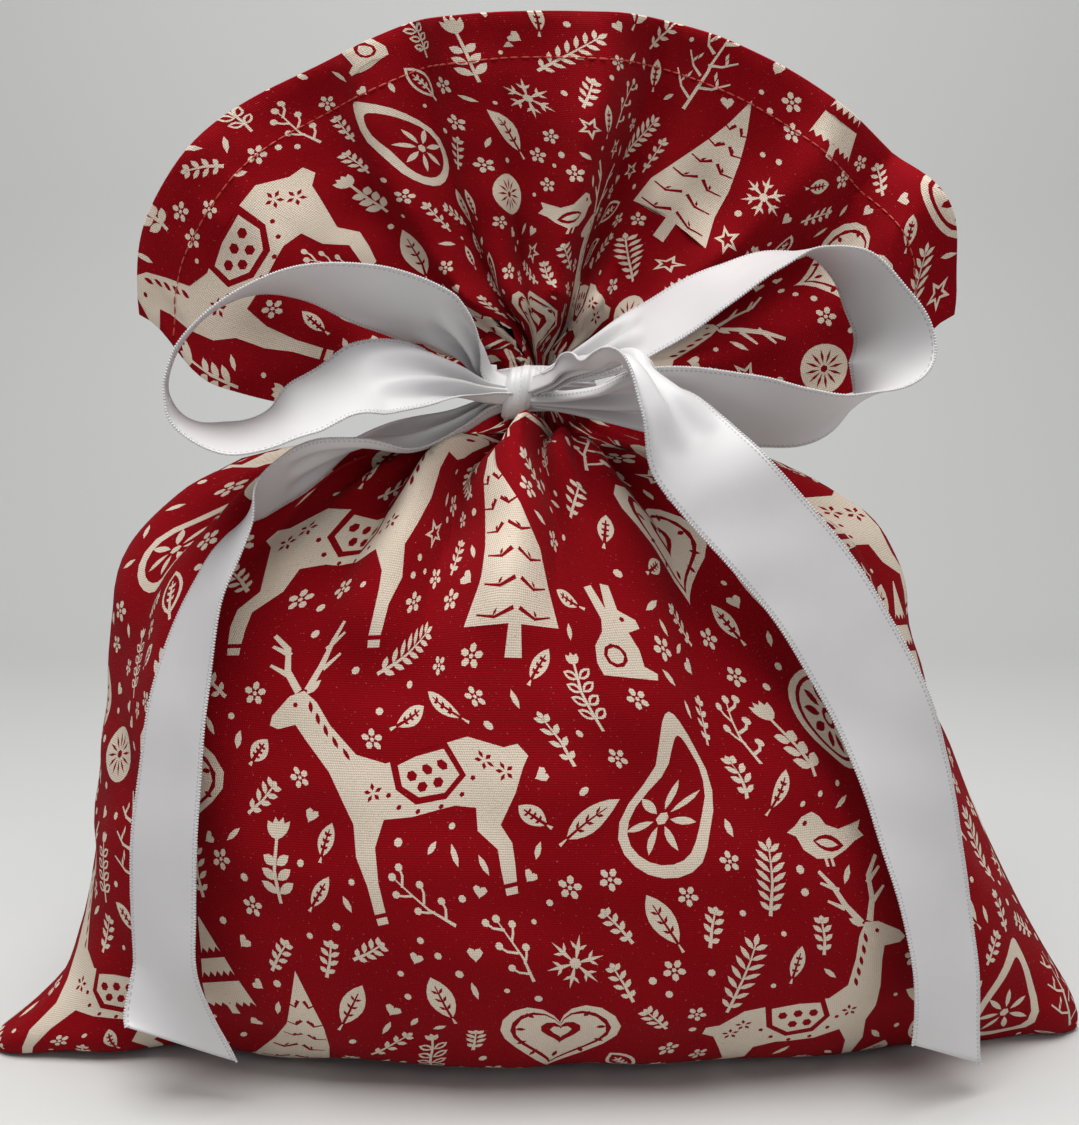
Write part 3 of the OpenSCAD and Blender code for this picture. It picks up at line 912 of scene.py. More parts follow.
def grazing_deer(size=46.0):
    """A plain long-legged deer with a patterned saddle cloth and twig antlers."""
    body = [
        (-20, 6), (-14, 9.5), (-4, 9.2), (6, 8.2), (11, 11), (14, 17.5), (16, 22.6), (18.4, 25.4),
        (21.6, 24.8), (26, 21.6), (27, 19.8), (25.4, 18.8), (21.4, 19), (20.2, 15.6), (18.6, 9),
        (16.8, 2.4), (14.6, -2.4), (15, -9), (14.2, -15), (15, -23.6), (12.6, -23.6), (11.6, -15),
        (10.4, -8), (8, -2.8), (2, -3.6), (-7, -3.2), (-11.6, -4.6), (-12.2, -9.6), (-16, -14.2),
        (-15.4, -18), (-14.6, -23.6), (-17.2, -23.6), (-18.8, -17.6), (-19.4, -13.6), (-17.2, -9.4),
        (-19.6, -3.2), (-21.4, 1.4), (-24, 3.4), (-23.2, 6),
    ]
    k = size / 50
    parts = [(np.array(body) * k, 1)]
    saddle = [(-9, 9.4), (-1, 9.3), (5, 8.4), (5.6, 2.8), (1.4, -1.2), (-5, -1.4), (-9.4, 2.6)]
    inner = [(-7.6, 8.4), (-1, 8.2), (3.8, 7.4), (4.2, 3.2), (0.8, 0.2), (-4.6, 0), (-8, 3.0)]
    parts.append((np.array(saddle) * k, 0))
    parts.append((np.array(inner) * k, 1))
    for x, y in ((-5.4, 5.6), (-1.8, 5.4), (1.8, 4.8), (-3.4, 2.4), (0, 2.2)):
        parts.append((placed(disc(1.15, 6), x, y) * k, 0))
    for i in range(6):
        a = math.pi * (1.08 + 0.17 * i)
        x, y = -1.8 + 9.2 * math.cos(a), 3.4 + 6.4 * math.sin(a)
        parts.append((placed(disc(0.6, 5), x, y) * k, 0))
    for way in (-1, 1):
        horn = [(18.6 + way, 25.4), (18.6 + way * 3.4, 30), (18.2 + way * 4.6, 35), (19 + way * 7.4, 38.6)]
        parts.append((stroke(horn, 1.6, 0.5) * k, 1))
        for y, reach in ((29.4, 3.4), (33.6, 3.8)):
            fork = [(18.4 + way * 3.6, y), (18.6 + way * (3.8 + reach), y + 2.6)]
            parts.append((stroke(fork, 1.1, 0.5) * k, 1))
    for x, y in ((13.0, -21.2), (-16.2, -21.2)):
        parts.append((np.array([(x - 2.0, y), (x + 2.2, y), (x + 2.2, y - 0.9), (x - 2.0, y - 0.9)]) * k, 0))
    for i in range(5):
        leaf = placed(lens(2.6, 1.0, 2), 12.4 + 1.1 * i, 10.2 + 2.6 * i)
        parts.append((placed(leaf, 0.6, 0) * k, 0))
    for x, y in ((-14.6, 4.6), (-17.6, 1.6), (10.4, 3.2)):
        for i in range(5):
            petal = placed(lens(1.7, 0.9, 1), 0, 0.4)
            parts.append((placed(petal, x, y, 2 * math.pi * i / 5) * k, 0))
    parts.append((placed(lens(4, 1.7, 2), 18, 24.6, 0.9) * k, 1))
    parts.append((placed(disc(0.55, 6), 20.6, 22.9) * k, 0))
    return parts


def small_hare(size=17.0):
    """A plain sitting hare."""
    body = [
        (-6.4, -8), (5.6, -8), (6.6, -5.4), (6, -1.6), (3.4, 1.6), (2.8, 4.4), (4.6, 12), (2.8, 12.4),
        (1.2, 6.6), (0.6, 12.6), (-1.2, 12), (-1.4, 6.4), (-4.8, 4.6), (-5.2, 2.8), (-2.4, 1.6),
        (-3.6, -2), (-3.8, -5.4), (-6.6, -6.6),
    ]
    parts = [(np.array(body) * size / 20, 1)]
    parts.append((placed(disc(size * 0.13, 9), size * 0.1, -size * 0.18), 0))
    parts.append((placed(disc(size * 0.09, 8), size * 0.1, -size * 0.18), 1))
    parts.append((placed(disc(size * 0.03, 5), -size * 0.09, size * 0.22), 0))
    return parts


def dot(radius=1.1):
    return [(disc(radius, 7), 1)]


def outline_cells(outlines, pad):
    """Whole-millimetre cells that the outlines cover, with a margin around them."""
    every = np.concatenate(outlines)
    low = np.floor(every.min(0)) - 2 - pad
    size = (np.ceil(every.max(0)) + 2 + pad - low).astype(int) + 1
    xs = low[0] + np.arange(size[0])
    ys = low[1] + np.arange(size[1])
    gx, gy = np.meshgrid(xs, ys)
    inside = np.zeros(gx.shape, bool)
    for outline in outlines:
        x0, y0 = outline.T
        x1, y1 = np.roll(x0, -1), np.roll(y0, -1)
        crossings = np.zeros(gx.shape, bool)
        for ax, ay, bx, by in zip(x0, y0, x1, y1):
            if ay != by:
                hit = (gy >= min(ay, by)) & (gy < max(ay, by))
                crossings ^= hit & (gx < ax + (gy - ay) * (bx - ax) / (by - ay))
        inside |= crossings
        steps = np.concatenate([outline + (np.roll(outline, -1, 0) - outline) * t for t in (0, 0.33, 0.66)])
        ix = np.clip(np.rint(steps[:, 0] - low[0]).astype(int), 0, size[0] - 1)
        iy = np.clip(np.rint(steps[:, 1] - low[1]).astype(int), 0, size[1] - 1)
        inside[iy, ix] = True
    for _ in range(pad):
        grown = inside.copy()
        grown[1:] |= inside[:-1]
        grown[:-1] |= inside[1:]
        grown[:, 1:] |= inside[:, :-1]
        grown[:, :-1] |= inside[:, 1:]
        inside = grown
    ys, xs = np.nonzero(inside)
    return np.stack([xs + low[0], ys + low[1]], 1).astype(int)


def print_leads(rng):
    """The largest motifs, spaced so that each part of the panel shows one or two."""
    leads = []
    for row, y in enumerate((62, 128, 196, 268, 340)):
        for column in range(5):
            x = 34 + 68 * column + (34 if row % 2 else 0)
            kind = (row * 2 + column) % 5
            size = rng.uniform(0.92, 1.08)
            if kind in (0, 3):
                make = lambda r, k=size: grazing_deer(66 * k)
            elif kind == 1:
                make = lambda r, k=size: fir(50 * k, 29 * k)
            elif kind == 2:
                make = lambda r, k=size: folk_heart(17 * k)
            else:
                make = lambda r, k=size: paisley(37 * k)
            leads.append((make, (x, y)))
    return leads


def print_plan():
    """The kinds of motif, largest first: maker, times tried, places tried, upright."""
    return [
        (lambda r: rosette(r.uniform(11, 14)), 4, 200, False),
        (lambda r: bare_twig(r.uniform(26, 34)), 4, 200, True),
        (lambda r: banded_fir(r.uniform(24, 30)), 5, 200, True),
        (lambda r: songbird(r.uniform(20, 27)), 7, 250, True),
        (lambda r: small_hare(r.uniform(20, 26)), 6, 250, True),
        (lambda r: sunburst(r.uniform(7, 9)), 6, 200, False),
        (lambda r: frost_wheel(r.uniform(6, 8)), 6, 150, False),
        (lambda r: tulip(r.uniform(18, 24)), 12, 200, True),
        (lambda r: looped_sprig(r.uniform(16, 23)), 12, 200, True),
        (lambda r: fern(r.uniform(17, 24), 7, r.uniform(7, 9)), 16, 200, False),
        (lambda r: veined_leaf(r.uniform(13, 19), r.uniform(6, 8)), 22, 200, False),
        (lambda r: ringed_leaf(r.uniform(13, 18), r.uniform(6, 8)), 20, 200, False),
        (lambda r: berry_twig(r.uniform(14, 20)), 12, 150, False),
        (lambda r: fern(r.uniform(9, 13), 4, r.uniform(5, 6)), 95, 260, False),
        (lambda r: ringed_star(r.uniform(3.6, 5)), 24, 200, False),
        (lambda r: veined_leaf(r.uniform(8, 11), r.uniform(3.6, 4.6)), 60, 260, False),
        (lambda r: blossom(r.uniform(2.6, 3.4)), 150, 220, False),
        (lambda r: small_heart(r.uniform(1.8, 2.5)), 90, 160, False),
        (lambda r: [(lens(r.uniform(4, 6), 1.7, 2), 1)], 160, 160, False),
        (lambda r: dot(r.uniform(0.7, 1.2)), 260, 80, False),
    ]


def print_layout(seed):
    """Motifs scattered over the flat cut without touching, seeded."""
    rng = random.Random(seed)
    margin = 30
    taken = np.zeros((int(CUT_END) + 2 * margin, int(CUT_WIDTH) + 2 * margin), bool)
    laid = []
    turns = [(make, 1, 1, True, place) for make, place in print_leads(rng)]
    turns += [(*kind, None) for kind in print_plan()]
    for make, count, tries, upright, place in turns:
        for _ in range(count):
            turn = rng.gauss(0, 0.1) if upright else rng.uniform(-1.1, 1.1)
            flip = rng.choice((-1, 1))
            parts = [(placed(o, turn=turn) * (flip, 1), tone) for o, tone in make(rng)]
            cells = outline_cells([o for o, tone in parts if tone], 1)
            for _ in range(tries):
                x = rng.randrange(-6, int(CUT_WIDTH) + 6)
                y = rng.randrange(-6, int(CUT_END) + 6)
                if place:
                    x, y = (int(v + rng.uniform(-3, 3)) for v in place)
                ix = cells[:, 0] + x + margin
                iy = cells[:, 1] + y + margin
                inside = (ix >= 0) & (iy >= 0) & (ix < taken.shape[1]) & (iy < taken.shape[0])
                if not taken[iy[inside], ix[inside]].any():
                    taken[iy[inside], ix[inside]] = True
                    laid.extend((o + (x, y), tone) for o, tone in parts)
                    break
    return laid


def printed_triangles(seed):
    """The flat cut as triangles that follow every printed outline: points, triangles, tones."""
    plain, gathered, fanned = np.arange(0, 190, 4.0), np.arange(190, 330, 2.5), np.arange(330, 374, 4.0)
    hem = np.arange(CUT_RIM + 4, CUT_END + 1, 4)
    rows = np.concatenate([plain, gathered, fanned, HEM_FOLD, hem])
    columns = np.linspace(0, CUT_WIDTH, 102)
    gx, gy = np.meshgrid(columns, rows)
    points = np.stack([gx.ravel(), gy.ravel()], 1)
    wide = len(columns)
    last = len(points)
    fold_rows = [int(i) for i in np.nonzero(np.abs(rows - CUT_RIM) < 0.5)[0]]
    edges = [(i * wide, i * wide + wide - 1) for i in fold_rows]
    corners = [0, wide - 1, last - 1, last - wide]
    faces, tones, extra = [corners], [0], []
    start = last
    for outline, tone in print_layout(seed):
        x, y = outline.T
        if np.dot(x, np.roll(y, -1)) < np.dot(y, np.roll(x, -1)):
            outline = outline[::-1]
        faces.append(list(range(start, start + len(outline))))
        tones.append(tone)
        extra.append(outline)
        start += len(outline)
    every = np.concatenate([points] + extra)
    found = delaunay_2d_cdt([Vector(p) for p in every.tolist()], edges, faces, 1, 1e-4, True)
    flat = np.array([tuple(v) for v in found[0]])
    triangles, paint = [], []
    for triangle, origin in zip(found[2], found[5]):
        if 0 in origin:
            triangles.append(tuple(triangle))
            paint.append(tones[max(origin)])
    used = np.unique(np.array(triangles))
    renumber = np.full(len(flat), -1)
    renumber[used] = np.arange(len(used))
    return flat[used], renumber[np.array(triangles)], np.array(paint)


# ---------------------------------------------------------------- cloth


def squared(value, roundness):
    return np.sign(value) * np.abs(value) ** (2 / roundness)


def body_rows():
    """Base surface of the body from the bottom seam to the neck."""
    table = np.array(BODY_ROWS, float)
    middle_line = np.stack([table[:, 3], table[:, 0]], 1)
    along = run_length(middle_line)
    at = np.linspace(0, along[-1], int(CUT_NECK) + 1)
    height, left, right, depth, roundness = smooth_through(along, table, at).T[:, :, None]
    depth = np.maximum(depth, 0)
    around = np.linspace(0, math.pi, SAMPLES)[None, :]
    c, s = np.cos(around), np.sin(around)
    x = -np.where(c > 0, left, right) * squared(c, roundness)
    y = -HALF_GAP - depth * squared(s, roundness)
    return np.stack([x, y, height + 0 * x], 2)


def ruff_rows():
    """Base surface of the fanned mouth from the neck to the rim."""
    share = np.linspace(0, 1, int(CUT_RIM - CUT_NECK) + 1)[1:, None]
    angle = np.radians(np.linspace(3, 177, SAMPLES))[None, :]
    reach = smooth_step(share * 9)
    neck_height, neck_half = BODY_ROWS[-1][:2]
    radius = neck_half + 112 * share
    corner = np.abs(np.cos(angle)) ** 9 * smooth_step((share - 0.72) / 0.28)
    inner = np.sin(angle)
    ragged = 1 + share * inner * (0.010 * np.sin(7 * angle + 1.2) + 0.006 * np.sin(13 * angle + 4))
    lean = np.where(angle < math.pi / 2, 1 - 0.02 * share * np.cos(angle), 1)
    x = -radius * np.cos(angle) * (ragged - 0.07 * corner) * lean
    z = neck_height + (0.6 + 91.2 * share) * np.sin(angle) * ragged
    z -= 15 * np.sin(math.pi * share**0.8) * np.abs(np.cos(angle)) ** 4 * reach
    z += 9 * corner
    out = 12 * (1 - share) ** 7 + 21 * share**0.9
    y = -HALF_GAP - out * np.sin(angle) ** 0.8
    y -= share * inner * (6 * np.sin(5 * angle) + 4.5 * np.sin(9 * angle + 2))
    return np.stack([x, y, z + 0 * x], 2)


def across_panel(base):
    """The share of the way across the panel at each place, and each row's whole length."""
    around = run_length(base.transpose(1, 0, 2)).T
    whole = around[:, -1:]
    return around / whole, whole


def crease_depth(base, creases, start_row, direction, side):
    """How far each place sinks into the creases that run from the neck, and the free edges' share."""
    place, whole = across_panel(base)
    distance = np.maximum((np.arange(len(base))[:, None] - start_row) * direction, 0)
    sunk = np.zeros(place.shape)
    lifted = np.zeros(place.shape)
    for i, (near, far, depth, reach, thin, wide) in enumerate(creases):
        t = np.clip(distance / reach, 0, 1)
        centre = near + (far - near) * t
        if side < 0:
            centre = 1 - centre + 0.02 * math.sin(3.1 * i)
        width = thin + (wide - thin) * np.clip(distance / 70, 0, 1.3)
        room = smooth_step(1.35 - distance / reach)
        here = depth * room * (1 - 0.25 * np.clip(distance / 60, 0, 1))
        gap = np.abs(place - centre) * whole / width
        sunk += here * np.exp(-(gap**1.25))
        lifted += 0.34 * here * np.exp(-((gap - 1.9) ** 2)) * np.clip(distance / 20, 0, 1)
    edge = smooth_step(np.minimum(place, 1 - place) * whole / 7)
    return (lifted - sunk) * edge, edge


def crease_rolls(base, side):
    """Height of the broad rolls over the panel."""
    place, whole = across_panel(base)
    rows = np.arange(len(base))[:, None]
    total = np.zeros(place.shape)
    for near, far, start, end, height, half in ROLLS:
        t = (rows - start) / (end - start)
        centre = near + (far - near) * np.clip(t, 0, 1)
        if side < 0:
            centre = 0.97 - centre
        room = smooth_step(t / 0.18) * smooth_step((1.12 - t) / 0.4)
        gap = (place - centre) * whole / half
        total += height * room * np.exp(-(gap**2))
    return total


def panel_surface(side):
    """Printed face of one panel as a millimetre grid: rows up the cut, columns across it."""
    base = np.concatenate([body_rows(), ruff_rows()])
    rows = base.shape[0]
    normal = grid_normals(base)
    neck = int(CUT_NECK)
    low, edge = crease_depth(base, BODY_CREASES, neck - 4, -1, side)
    high, _ = crease_depth(base, RUFF_CREASES, neck - 4, 1, side)
    up = np.arange(rows)[:, None]
    blend = smooth_step((up - neck + 8) / 8)
    sink = np.clip(low * (1 - blend) + high * blend, -13, 6)
    across = np.linspace(0, CUT_WIDTH, base.shape[1])[None, :] + 0 * up
    seed = 11 if side > 0 else 23
    sink = sink + crease_rolls(base, side) * edge
    wide_wave = ripples(across, up + 0 * across, seed, 7, 75)
    fine_wave = ripples(across, up + 0 * across, seed + 1, 9, 26)
    free = smooth_step(np.abs(up - neck) / 40) * smooth_step(up / 30)
    gather = ripples(across * 6, up + 0 * across, seed + 2, 6, 55)
    pucker = np.exp(-(((up - CUT_RIM + HEM_STITCH) / 7) ** 2)) * gather
    sink = sink + edge * (free * (1.1 * wide_wave + 0.55 * fine_wave - 0.6) + 0.3 * pucker)
    surface = base + normal * sink[:, :, None]
    around = run_length(surface.transpose(1, 0, 2)).T
    hidden = np.clip(-low * (1 - blend) - high * blend - 1.0, 0, 6) / 6
    steps = np.diff(around, axis=1)
    tucked = (hidden[:, 1:] + hidden[:, :-1]) / 2 * steps
    spare = np.maximum(CUT_WIDTH - around[:, -1], 0) / np.maximum(tucked.sum(1), 1.0)
    weighted = steps + tucked * np.minimum(spare, 9.0)[:, None]
    around = np.concatenate([0 * around[:, :1], np.cumsum(weighted, axis=1)], 1)
    columns = int(CUT_WIDTH) + 1
    grid = np.empty((rows, columns, 3))
    for i in range(rows):
        at = np.linspace(0, around[i, -1], columns)
        for k in range(3):
            grid[i, :, k] = np.interp(at, around[i], surface[i, :, k])
    grid[1:-1] = (grid[:-2] + 2 * grid[1:-1] + grid[2:]) / 4
    if side < 0:
        grid = grid[:, ::-1] * (1, -1, 1)
    low_part = smooth_step(1 - grid[:, :, 2] / 60)
    left_ear = smooth_step((-grid[:, :, 0] - 95) / 63)
    right_ear = smooth_step((grid[:, :, 0] - 110) / 48)
    grid[:, :, 1] -= low_part * (20 * left_ear + 7 * right_ear)
    return grid * MM


def with_hem(grid, thickness):
    """Adds the turned hem inside the rim; returns the grid and the cut length of each row."""
    normal = grid_normals(grid)
    deep = int(CUT_END - CUT_RIM)
    gap = 2.4 * thickness
    inner = grid[-deep - 1 : -1][::-1] - normal[-deep - 1 : -1][::-1] * gap
    top = grid[-1]
    away = unit(grid[-1] - grid[-4])
    turn = [
        top + away * 0.35 * thickness,
        top + away * 1.2 * thickness - normal[-1] * gap / 2,
        top - normal[-1] * gap + away * 0.35 * thickness,
    ]
    lengths = np.concatenate(
        [np.arange(0, CUT_RIM - 0.5), HEM_FOLD, CUT_RIM + np.arange(1, deep + 1)]
    )
    return np.concatenate([grid[:-1], np.array(turn), inner]), lengths


def grid_sampler(grid, lengths):
    """Reads the grid anywhere on the cut, in millimetres across and up."""
    rows, columns = grid.shape[:2]

    def read(flat, layer):
        r = np.clip(np.interp(flat[:, 1], lengths, np.arange(rows)), 0, rows - 1.001)
        c = np.clip(flat[:, 0] / CUT_WIDTH * (columns - 1), 0, columns - 1.001)
        i, j = r.astype(int), c.astype(int)
        fr, fc = (r - i)[:, None], (c - j)[:, None]
        low = layer[i, j] * (1 - fc) + layer[i, j + 1] * fc
        high = layer[i + 1, j] * (1 - fc) + layer[i + 1, j + 1] * fc
        return low * (1 - fr) + high * fr

    return read


PANELS = {}


def panel_of(side):
    """The panel's face grid, built once and used by its cloth, hem thread and seams."""
    if side not in PANELS:
        PANELS[side] = panel_surface(side)
    return PANELS[side]


def make_panel(name, side, settings, materials):
    """One printed panel from bottom seam to turned hem, as a closed sheet."""
    thickness = settings.thickness
    grid, lengths = with_hem(panel_of(side), thickness)
    normal = grid_normals(grid)
    read = grid_sampler(grid, lengths)
    flat, triangles, tones = printed_triangles(settings.print_seed + (0 if side > 0 else 50))
    face = read(flat, grid)
    facing = unit(read(flat, normal))
    back = face - facing * thickness
    count = len(flat)
    points = np.concatenate([face, back])
    a, b, c = flat[triangles[:, 0]], flat[triangles[:, 1]], flat[triangles[:, 2]]
    clockwise = np.cross(b - a, c - a) < 0
    triangles[clockwise] = triangles[clockwise][:, ::-1]
    halves = np.concatenate([triangles[:, [0, 1]], triangles[:, [1, 2]], triangles[:, [2, 0]]])
    seen = {tuple(edge) for edge in halves.tolist()}
    rim = [(p, q) for p, q in seen if (q, p) not in seen]
    faces = (
        triangles.tolist()
        + (triangles[:, ::-1] + count).tolist()
        + [(q, p, count + p, count + q) for p, q in sorted(rim)]
    )
    slots = np.concatenate([tones, np.full(len(triangles) + len(rim), 2)])
    facing_all = np.concatenate([facing, -facing])
    uv = np.concatenate([flat, flat]) * MM
    return add_piece(name, points, faces, materials, uv, slots, facing_all)


class GIFTPOUCH_OT_cloth(bpy.types.Operator):
    """Make the two printed cotton panels, gathered at the neck and fanned above it"""

    bl_idname = "giftpouch.cloth"
    bl_label = "Printed Panels"

    def execute(self, context):
        settings = context.scene.giftpouch_cloth
        ink, cotton = tuple(settings.ink), tuple(settings.cotton)
        bare = cotton_finish("bare_cotton", cotton, 0, settings.weave_pitch)
        printed = cotton_finish("printed_ground", ink, 1, settings.weave_pitch)
        wrong = cotton_finish("wrong_side", shade(cotton, 0.8), 0, settings.weave_pitch)
        for name, side, nodes in (
            ("front_cloth", 1, ("front_panel", "front_ruff", "front_hem", "neck_gathers")),
            ("back_cloth", -1, ("back_panel", "back_ruff", "back_hem")),
        ):
            piece = make_panel(name, side, settings, [printed, bare, wrong])
            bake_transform(piece)
            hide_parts(*nodes)
        return {"FINISHED"}


# ---------------------------------------------------------------- ribbon


def ribbon_course(route):
    """Centre line, across, facing and spread of a ribbon at even steps, and its length."""
    route = np.array(route, float)
    points = route[:, :3] * MM + KNOT
    chord = run_length(points)
    fine = np.linspace(0, chord[-1], 1500)
    length = run_length(smooth_through(chord, points, fine))
    count = int(round(length[-1] / (RIBBON_STEP * MM))) + 1
    at = np.interp(np.linspace(0, length[-1], count), length, fine)
    centre = smooth_through(chord, points, at)
    forward = unit(np.gradient(centre, axis=0))
    across = smooth_through(chord, unit(route[:, 3:6]), at)
    across = unit(across - forward * (across * forward).sum(1, keepdims=True))
    facing = np.cross(forward, across)
    share = np.clip(smooth_through(chord, route[:, 6], at), 0.14, 1)
    return centre, across, facing, share, length[-1]


def ribbon_grid(route, settings, seed, cut):
    """The ribbon's middle surface, bunched into pleats where its spread is small; its UV and centre."""
    centre, across, facing, share, length = ribbon_course(route)
    u = np.linspace(-1, 1, 29)[None, :]
    waves = 2.5
    chord = settings.width * share
    depth = chord / (2 * math.pi * waves) * np.sqrt(np.maximum(2 * (1 / share**2 - 1), 0))
    depth = np.minimum(depth, 2.6 * MM)[:, None]
    run = np.linspace(0, length, len(centre))[:, None]
    lift = depth * np.sin(math.pi * waves * u + seed)
    lift += 0.35 * MM * (u * u - 0.4) * smooth_step(share[:, None] * 1.2 - 0.2)
    lift += 0.25 * MM * ripples(run / MM, 12.5 * u + 0 * run, seed, 5, 34) * share[:, None]
    side = chord[:, None] / 2 * u
    slide = cut[0] + (cut[1] - cut[0]) * (u + 1) / 2
    slide = slide * np.clip((run - length + 0.03) / 0.03, 0, 1)
    forward = unit(np.gradient(centre, axis=0))
    grid = (
        centre[:, None]
        + across[:, None] * side[:, :, None]
        + facing[:, None] * lift[:, :, None]
        + forward[:, None] * slide[:, :, None]
    )
    uv = np.stack([settings.width / 2 * u + 0 * run, run + slide], 2)
    return grid, uv, centre


def ribbon_piece(name, grid, uv, thickness, material):
    points, faces = shell_of(grid, thickness)
    flat = uv.reshape(-1, 2)
    return add_piece(name, points, faces, [material], np.concatenate([flat, flat]))


def thread_tree(name, round_ends):
    """A node tree that lays short bits of thread at even steps along lines, with round or flat ends."""
    tree = bpy.data.node_groups.new(name, "GeometryNodeTree")
    face = tree.interface
    face.new_socket("Geometry", in_out="INPUT", socket_type="NodeSocketGeometry")
    for label, value in (("Pitch", 0.003), ("Length", 0.0025), ("Thread", 0.00025)):
        socket = face.new_socket(label, in_out="INPUT", socket_type="NodeSocketFloat")
        socket.default_value = value
    face.new_socket("Finish", in_out="INPUT", socket_type="NodeSocketMaterial")
    face.new_socket("Geometry", in_out="OUTPUT", socket_type="NodeSocketGeometry")
    new, link = tree.nodes.new, tree.links.new
    source, result = new("NodeGroupInput"), new("NodeGroupOutput")
    curve = new("GeometryNodeMeshToCurve")
    even = new("GeometryNodeResampleCurve")
    even.mode = "LENGTH"
    spread = new("GeometryNodeInstanceOnPoints")
    tangent = new("GeometryNodeInputTangent")
    turn = new("FunctionNodeAlignRotationToVector")
    turn.axis = "Z"
    real = new("GeometryNodeRealizeInstances")
    smooth = new("GeometryNodeSetShadeSmooth")
    finish = new("GeometryNodeSetMaterial")
    if round_ends:
        bit = new("GeometryNodeMeshUVSphere")
        bit.inputs["Segments"].default_value = 7
        bit.inputs["Rings"].default_value = 5
        bit.inputs["Radius"].default_value = 1.0
        half = new("ShaderNodeMath")
        half.operation = "MULTIPLY"
        half.inputs[1].default_value = 0.5
        size = new("ShaderNodeCombineXYZ")
        link(source.outputs["Length"], half.inputs[0])
        link(source.outputs["Thread"], size.inputs[0])
        link(source.outputs["Thread"], size.inputs[1])
        link(half.outputs[0], size.inputs[2])
        link(size.outputs[0], spread.inputs["Scale"])
    else:
        bit = new("GeometryNodeMeshCylinder")
        bit.fill_type = "NGON"
        bit.inputs["Vertices"].default_value = 5
        link(source.outputs["Length"], bit.inputs["Depth"])
        link(source.outputs["Thread"], bit.inputs["Radius"])
    link(source.outputs["Geometry"], curve.inputs["Mesh"])
    link(curve.outputs[0], even.inputs["Curve"])
    link(source.outputs["Pitch"], even.inputs["Length"])
    link(even.outputs[0], spread.inputs["Points"])
    link(bit.outputs["Mesh"], spread.inputs["Instance"])
    link(tangent.outputs[0], turn.inputs["Vector"])
    link(turn.outputs[0], spread.inputs["Rotation"])
    link(spread.outputs[0], real.inputs[0])
    link(real.outputs[0], smooth.inputs[0])
    link(smooth.outputs[0], finish.inputs["Geometry"])
    link(source.outputs["Finish"], finish.inputs["Material"])
    link(finish.outputs[0], result.inputs[0])
    return tree


def laid_by_nodes(name, lines, tree, values):
    """Runs a node tree on open lines and keeps its result as a plain mesh piece."""
    points, edges = [], []
    for line in lines:
        start = len(points)
        points.extend(tuple(p) for p in line)
        edges.extend((start + i, start + i + 1) for i in range(len(line) - 1))
    mesh = bpy.data.meshes.new(name)
    mesh.from_pydata(points, edges, [])
    carrier = bpy.data.objects.new(name + "_path", mesh)
    bpy.context.scene.collection.objects.link(carrier)
    modifier = carrier.modifiers.new("Nodes", "NODES")
    modifier.node_group = tree
    sockets = {
        item.name: item.identifier
        for item in tree.interface.items_tree
        if item.item_type == "SOCKET" and item.in_out == "INPUT"
    }
    for label, value in values.items():
        modifier[sockets[label]] = value
    graph = bpy.context.evaluated_depsgraph_get()
    made = bpy.data.meshes.new_from_object(carrier.evaluated_get(graph))
    if not made.polygons:
        raise RuntimeError(f"{name}: the node tree made nothing")
    made.name = name
    made.materials.clear()
    made.materials.append(values["Finish"])
    made.polygons.foreach_set("material_index", np.zeros(len(made.polygons), np.int32))
    bpy.data.objects.remove(carrier)
    piece = bpy.data.objects.new(name, made)
    bpy.context.scene.collection.objects.link(piece)
    return piece


def dressed_ribbon(name, route, settings, seed, satin, tree, thread, cut=(0, 0), bare_end=0):
    """A ribbon with its picot edges: the piece, the edge piece, its centre line and length."""
    grid, uv, centre = ribbon_grid(route, settings, seed, cut)
    piece = ribbon_piece(name, grid, uv, settings.thickness, satin)
    first = int(PICOT_START / RIBBON_STEP)
    last = len(grid) - int(bare_end / RIBBON_STEP)
    lines = [grid[first:last, 0], grid[first:last, -1]]
    pitch = settings.picot_pitch
    values = {"Pitch": pitch, "Length": pitch * 0.62, "Thread": 0.00033, "Finish": thread}
    edge = laid_by_nodes(name + "_picot", lines, tree, values)
    trimmed = int(max(0, -(cut[0] + cut[1]) / 2) / (RIBBON_STEP * MM))
    centre = centre[: len(centre) - trimmed]
    return piece, edge, centre, float(run_length(centre)[-1])


class GIFTPOUCH_OT_bow(bpy.types.Operator):
    """Make the two loops and two tails of the satin bow with their picot edges"""

    bl_idname = "giftpouch.bow"
    bl_label = "Bow Loops and Tails"

    def execute(self, context):
        settings = context.scene.giftpouch_ribbon
        satin = satin_finish("satin", tuple(settings.satin), settings.width)
        thread = thread_finish("picot_thread", tuple(settings.satin))
        tree = thread_tree("picot_edge", round_ends=False)
        for name, route, seed in (
            ("bow_left_loop", LEFT_LOOP, 3),
            ("bow_right_loop", RIGHT_LOOP, 5),
        ):
            piece, edge, centre, length = dressed_ribbon(
                name, route, settings, seed, satin, tree, thread, bare_end=LOOP_BARE_END
            )
            body = name.replace("bow_", "")
            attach(piece, body)
            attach(edge, body)
            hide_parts(body)
        for name, route, seed, fold, cut in (
            ("bow_left_tail", LEFT_TAIL, 7, 9, (-0.001, -0.018)),
            ("bow_right_tail", RIGHT_TAIL, 9, 6, (-0.010, 0.003)),
        ):
            piece, edge, centre, length = dressed_ribbon(
                name, route, settings, seed, satin, tree, thread, cut
            )
            body = name.replace("bow_", "")
            for part in (piece, edge):
                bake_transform(part)
            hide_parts(body, body + "_turn")
        return {"FINISHED"}


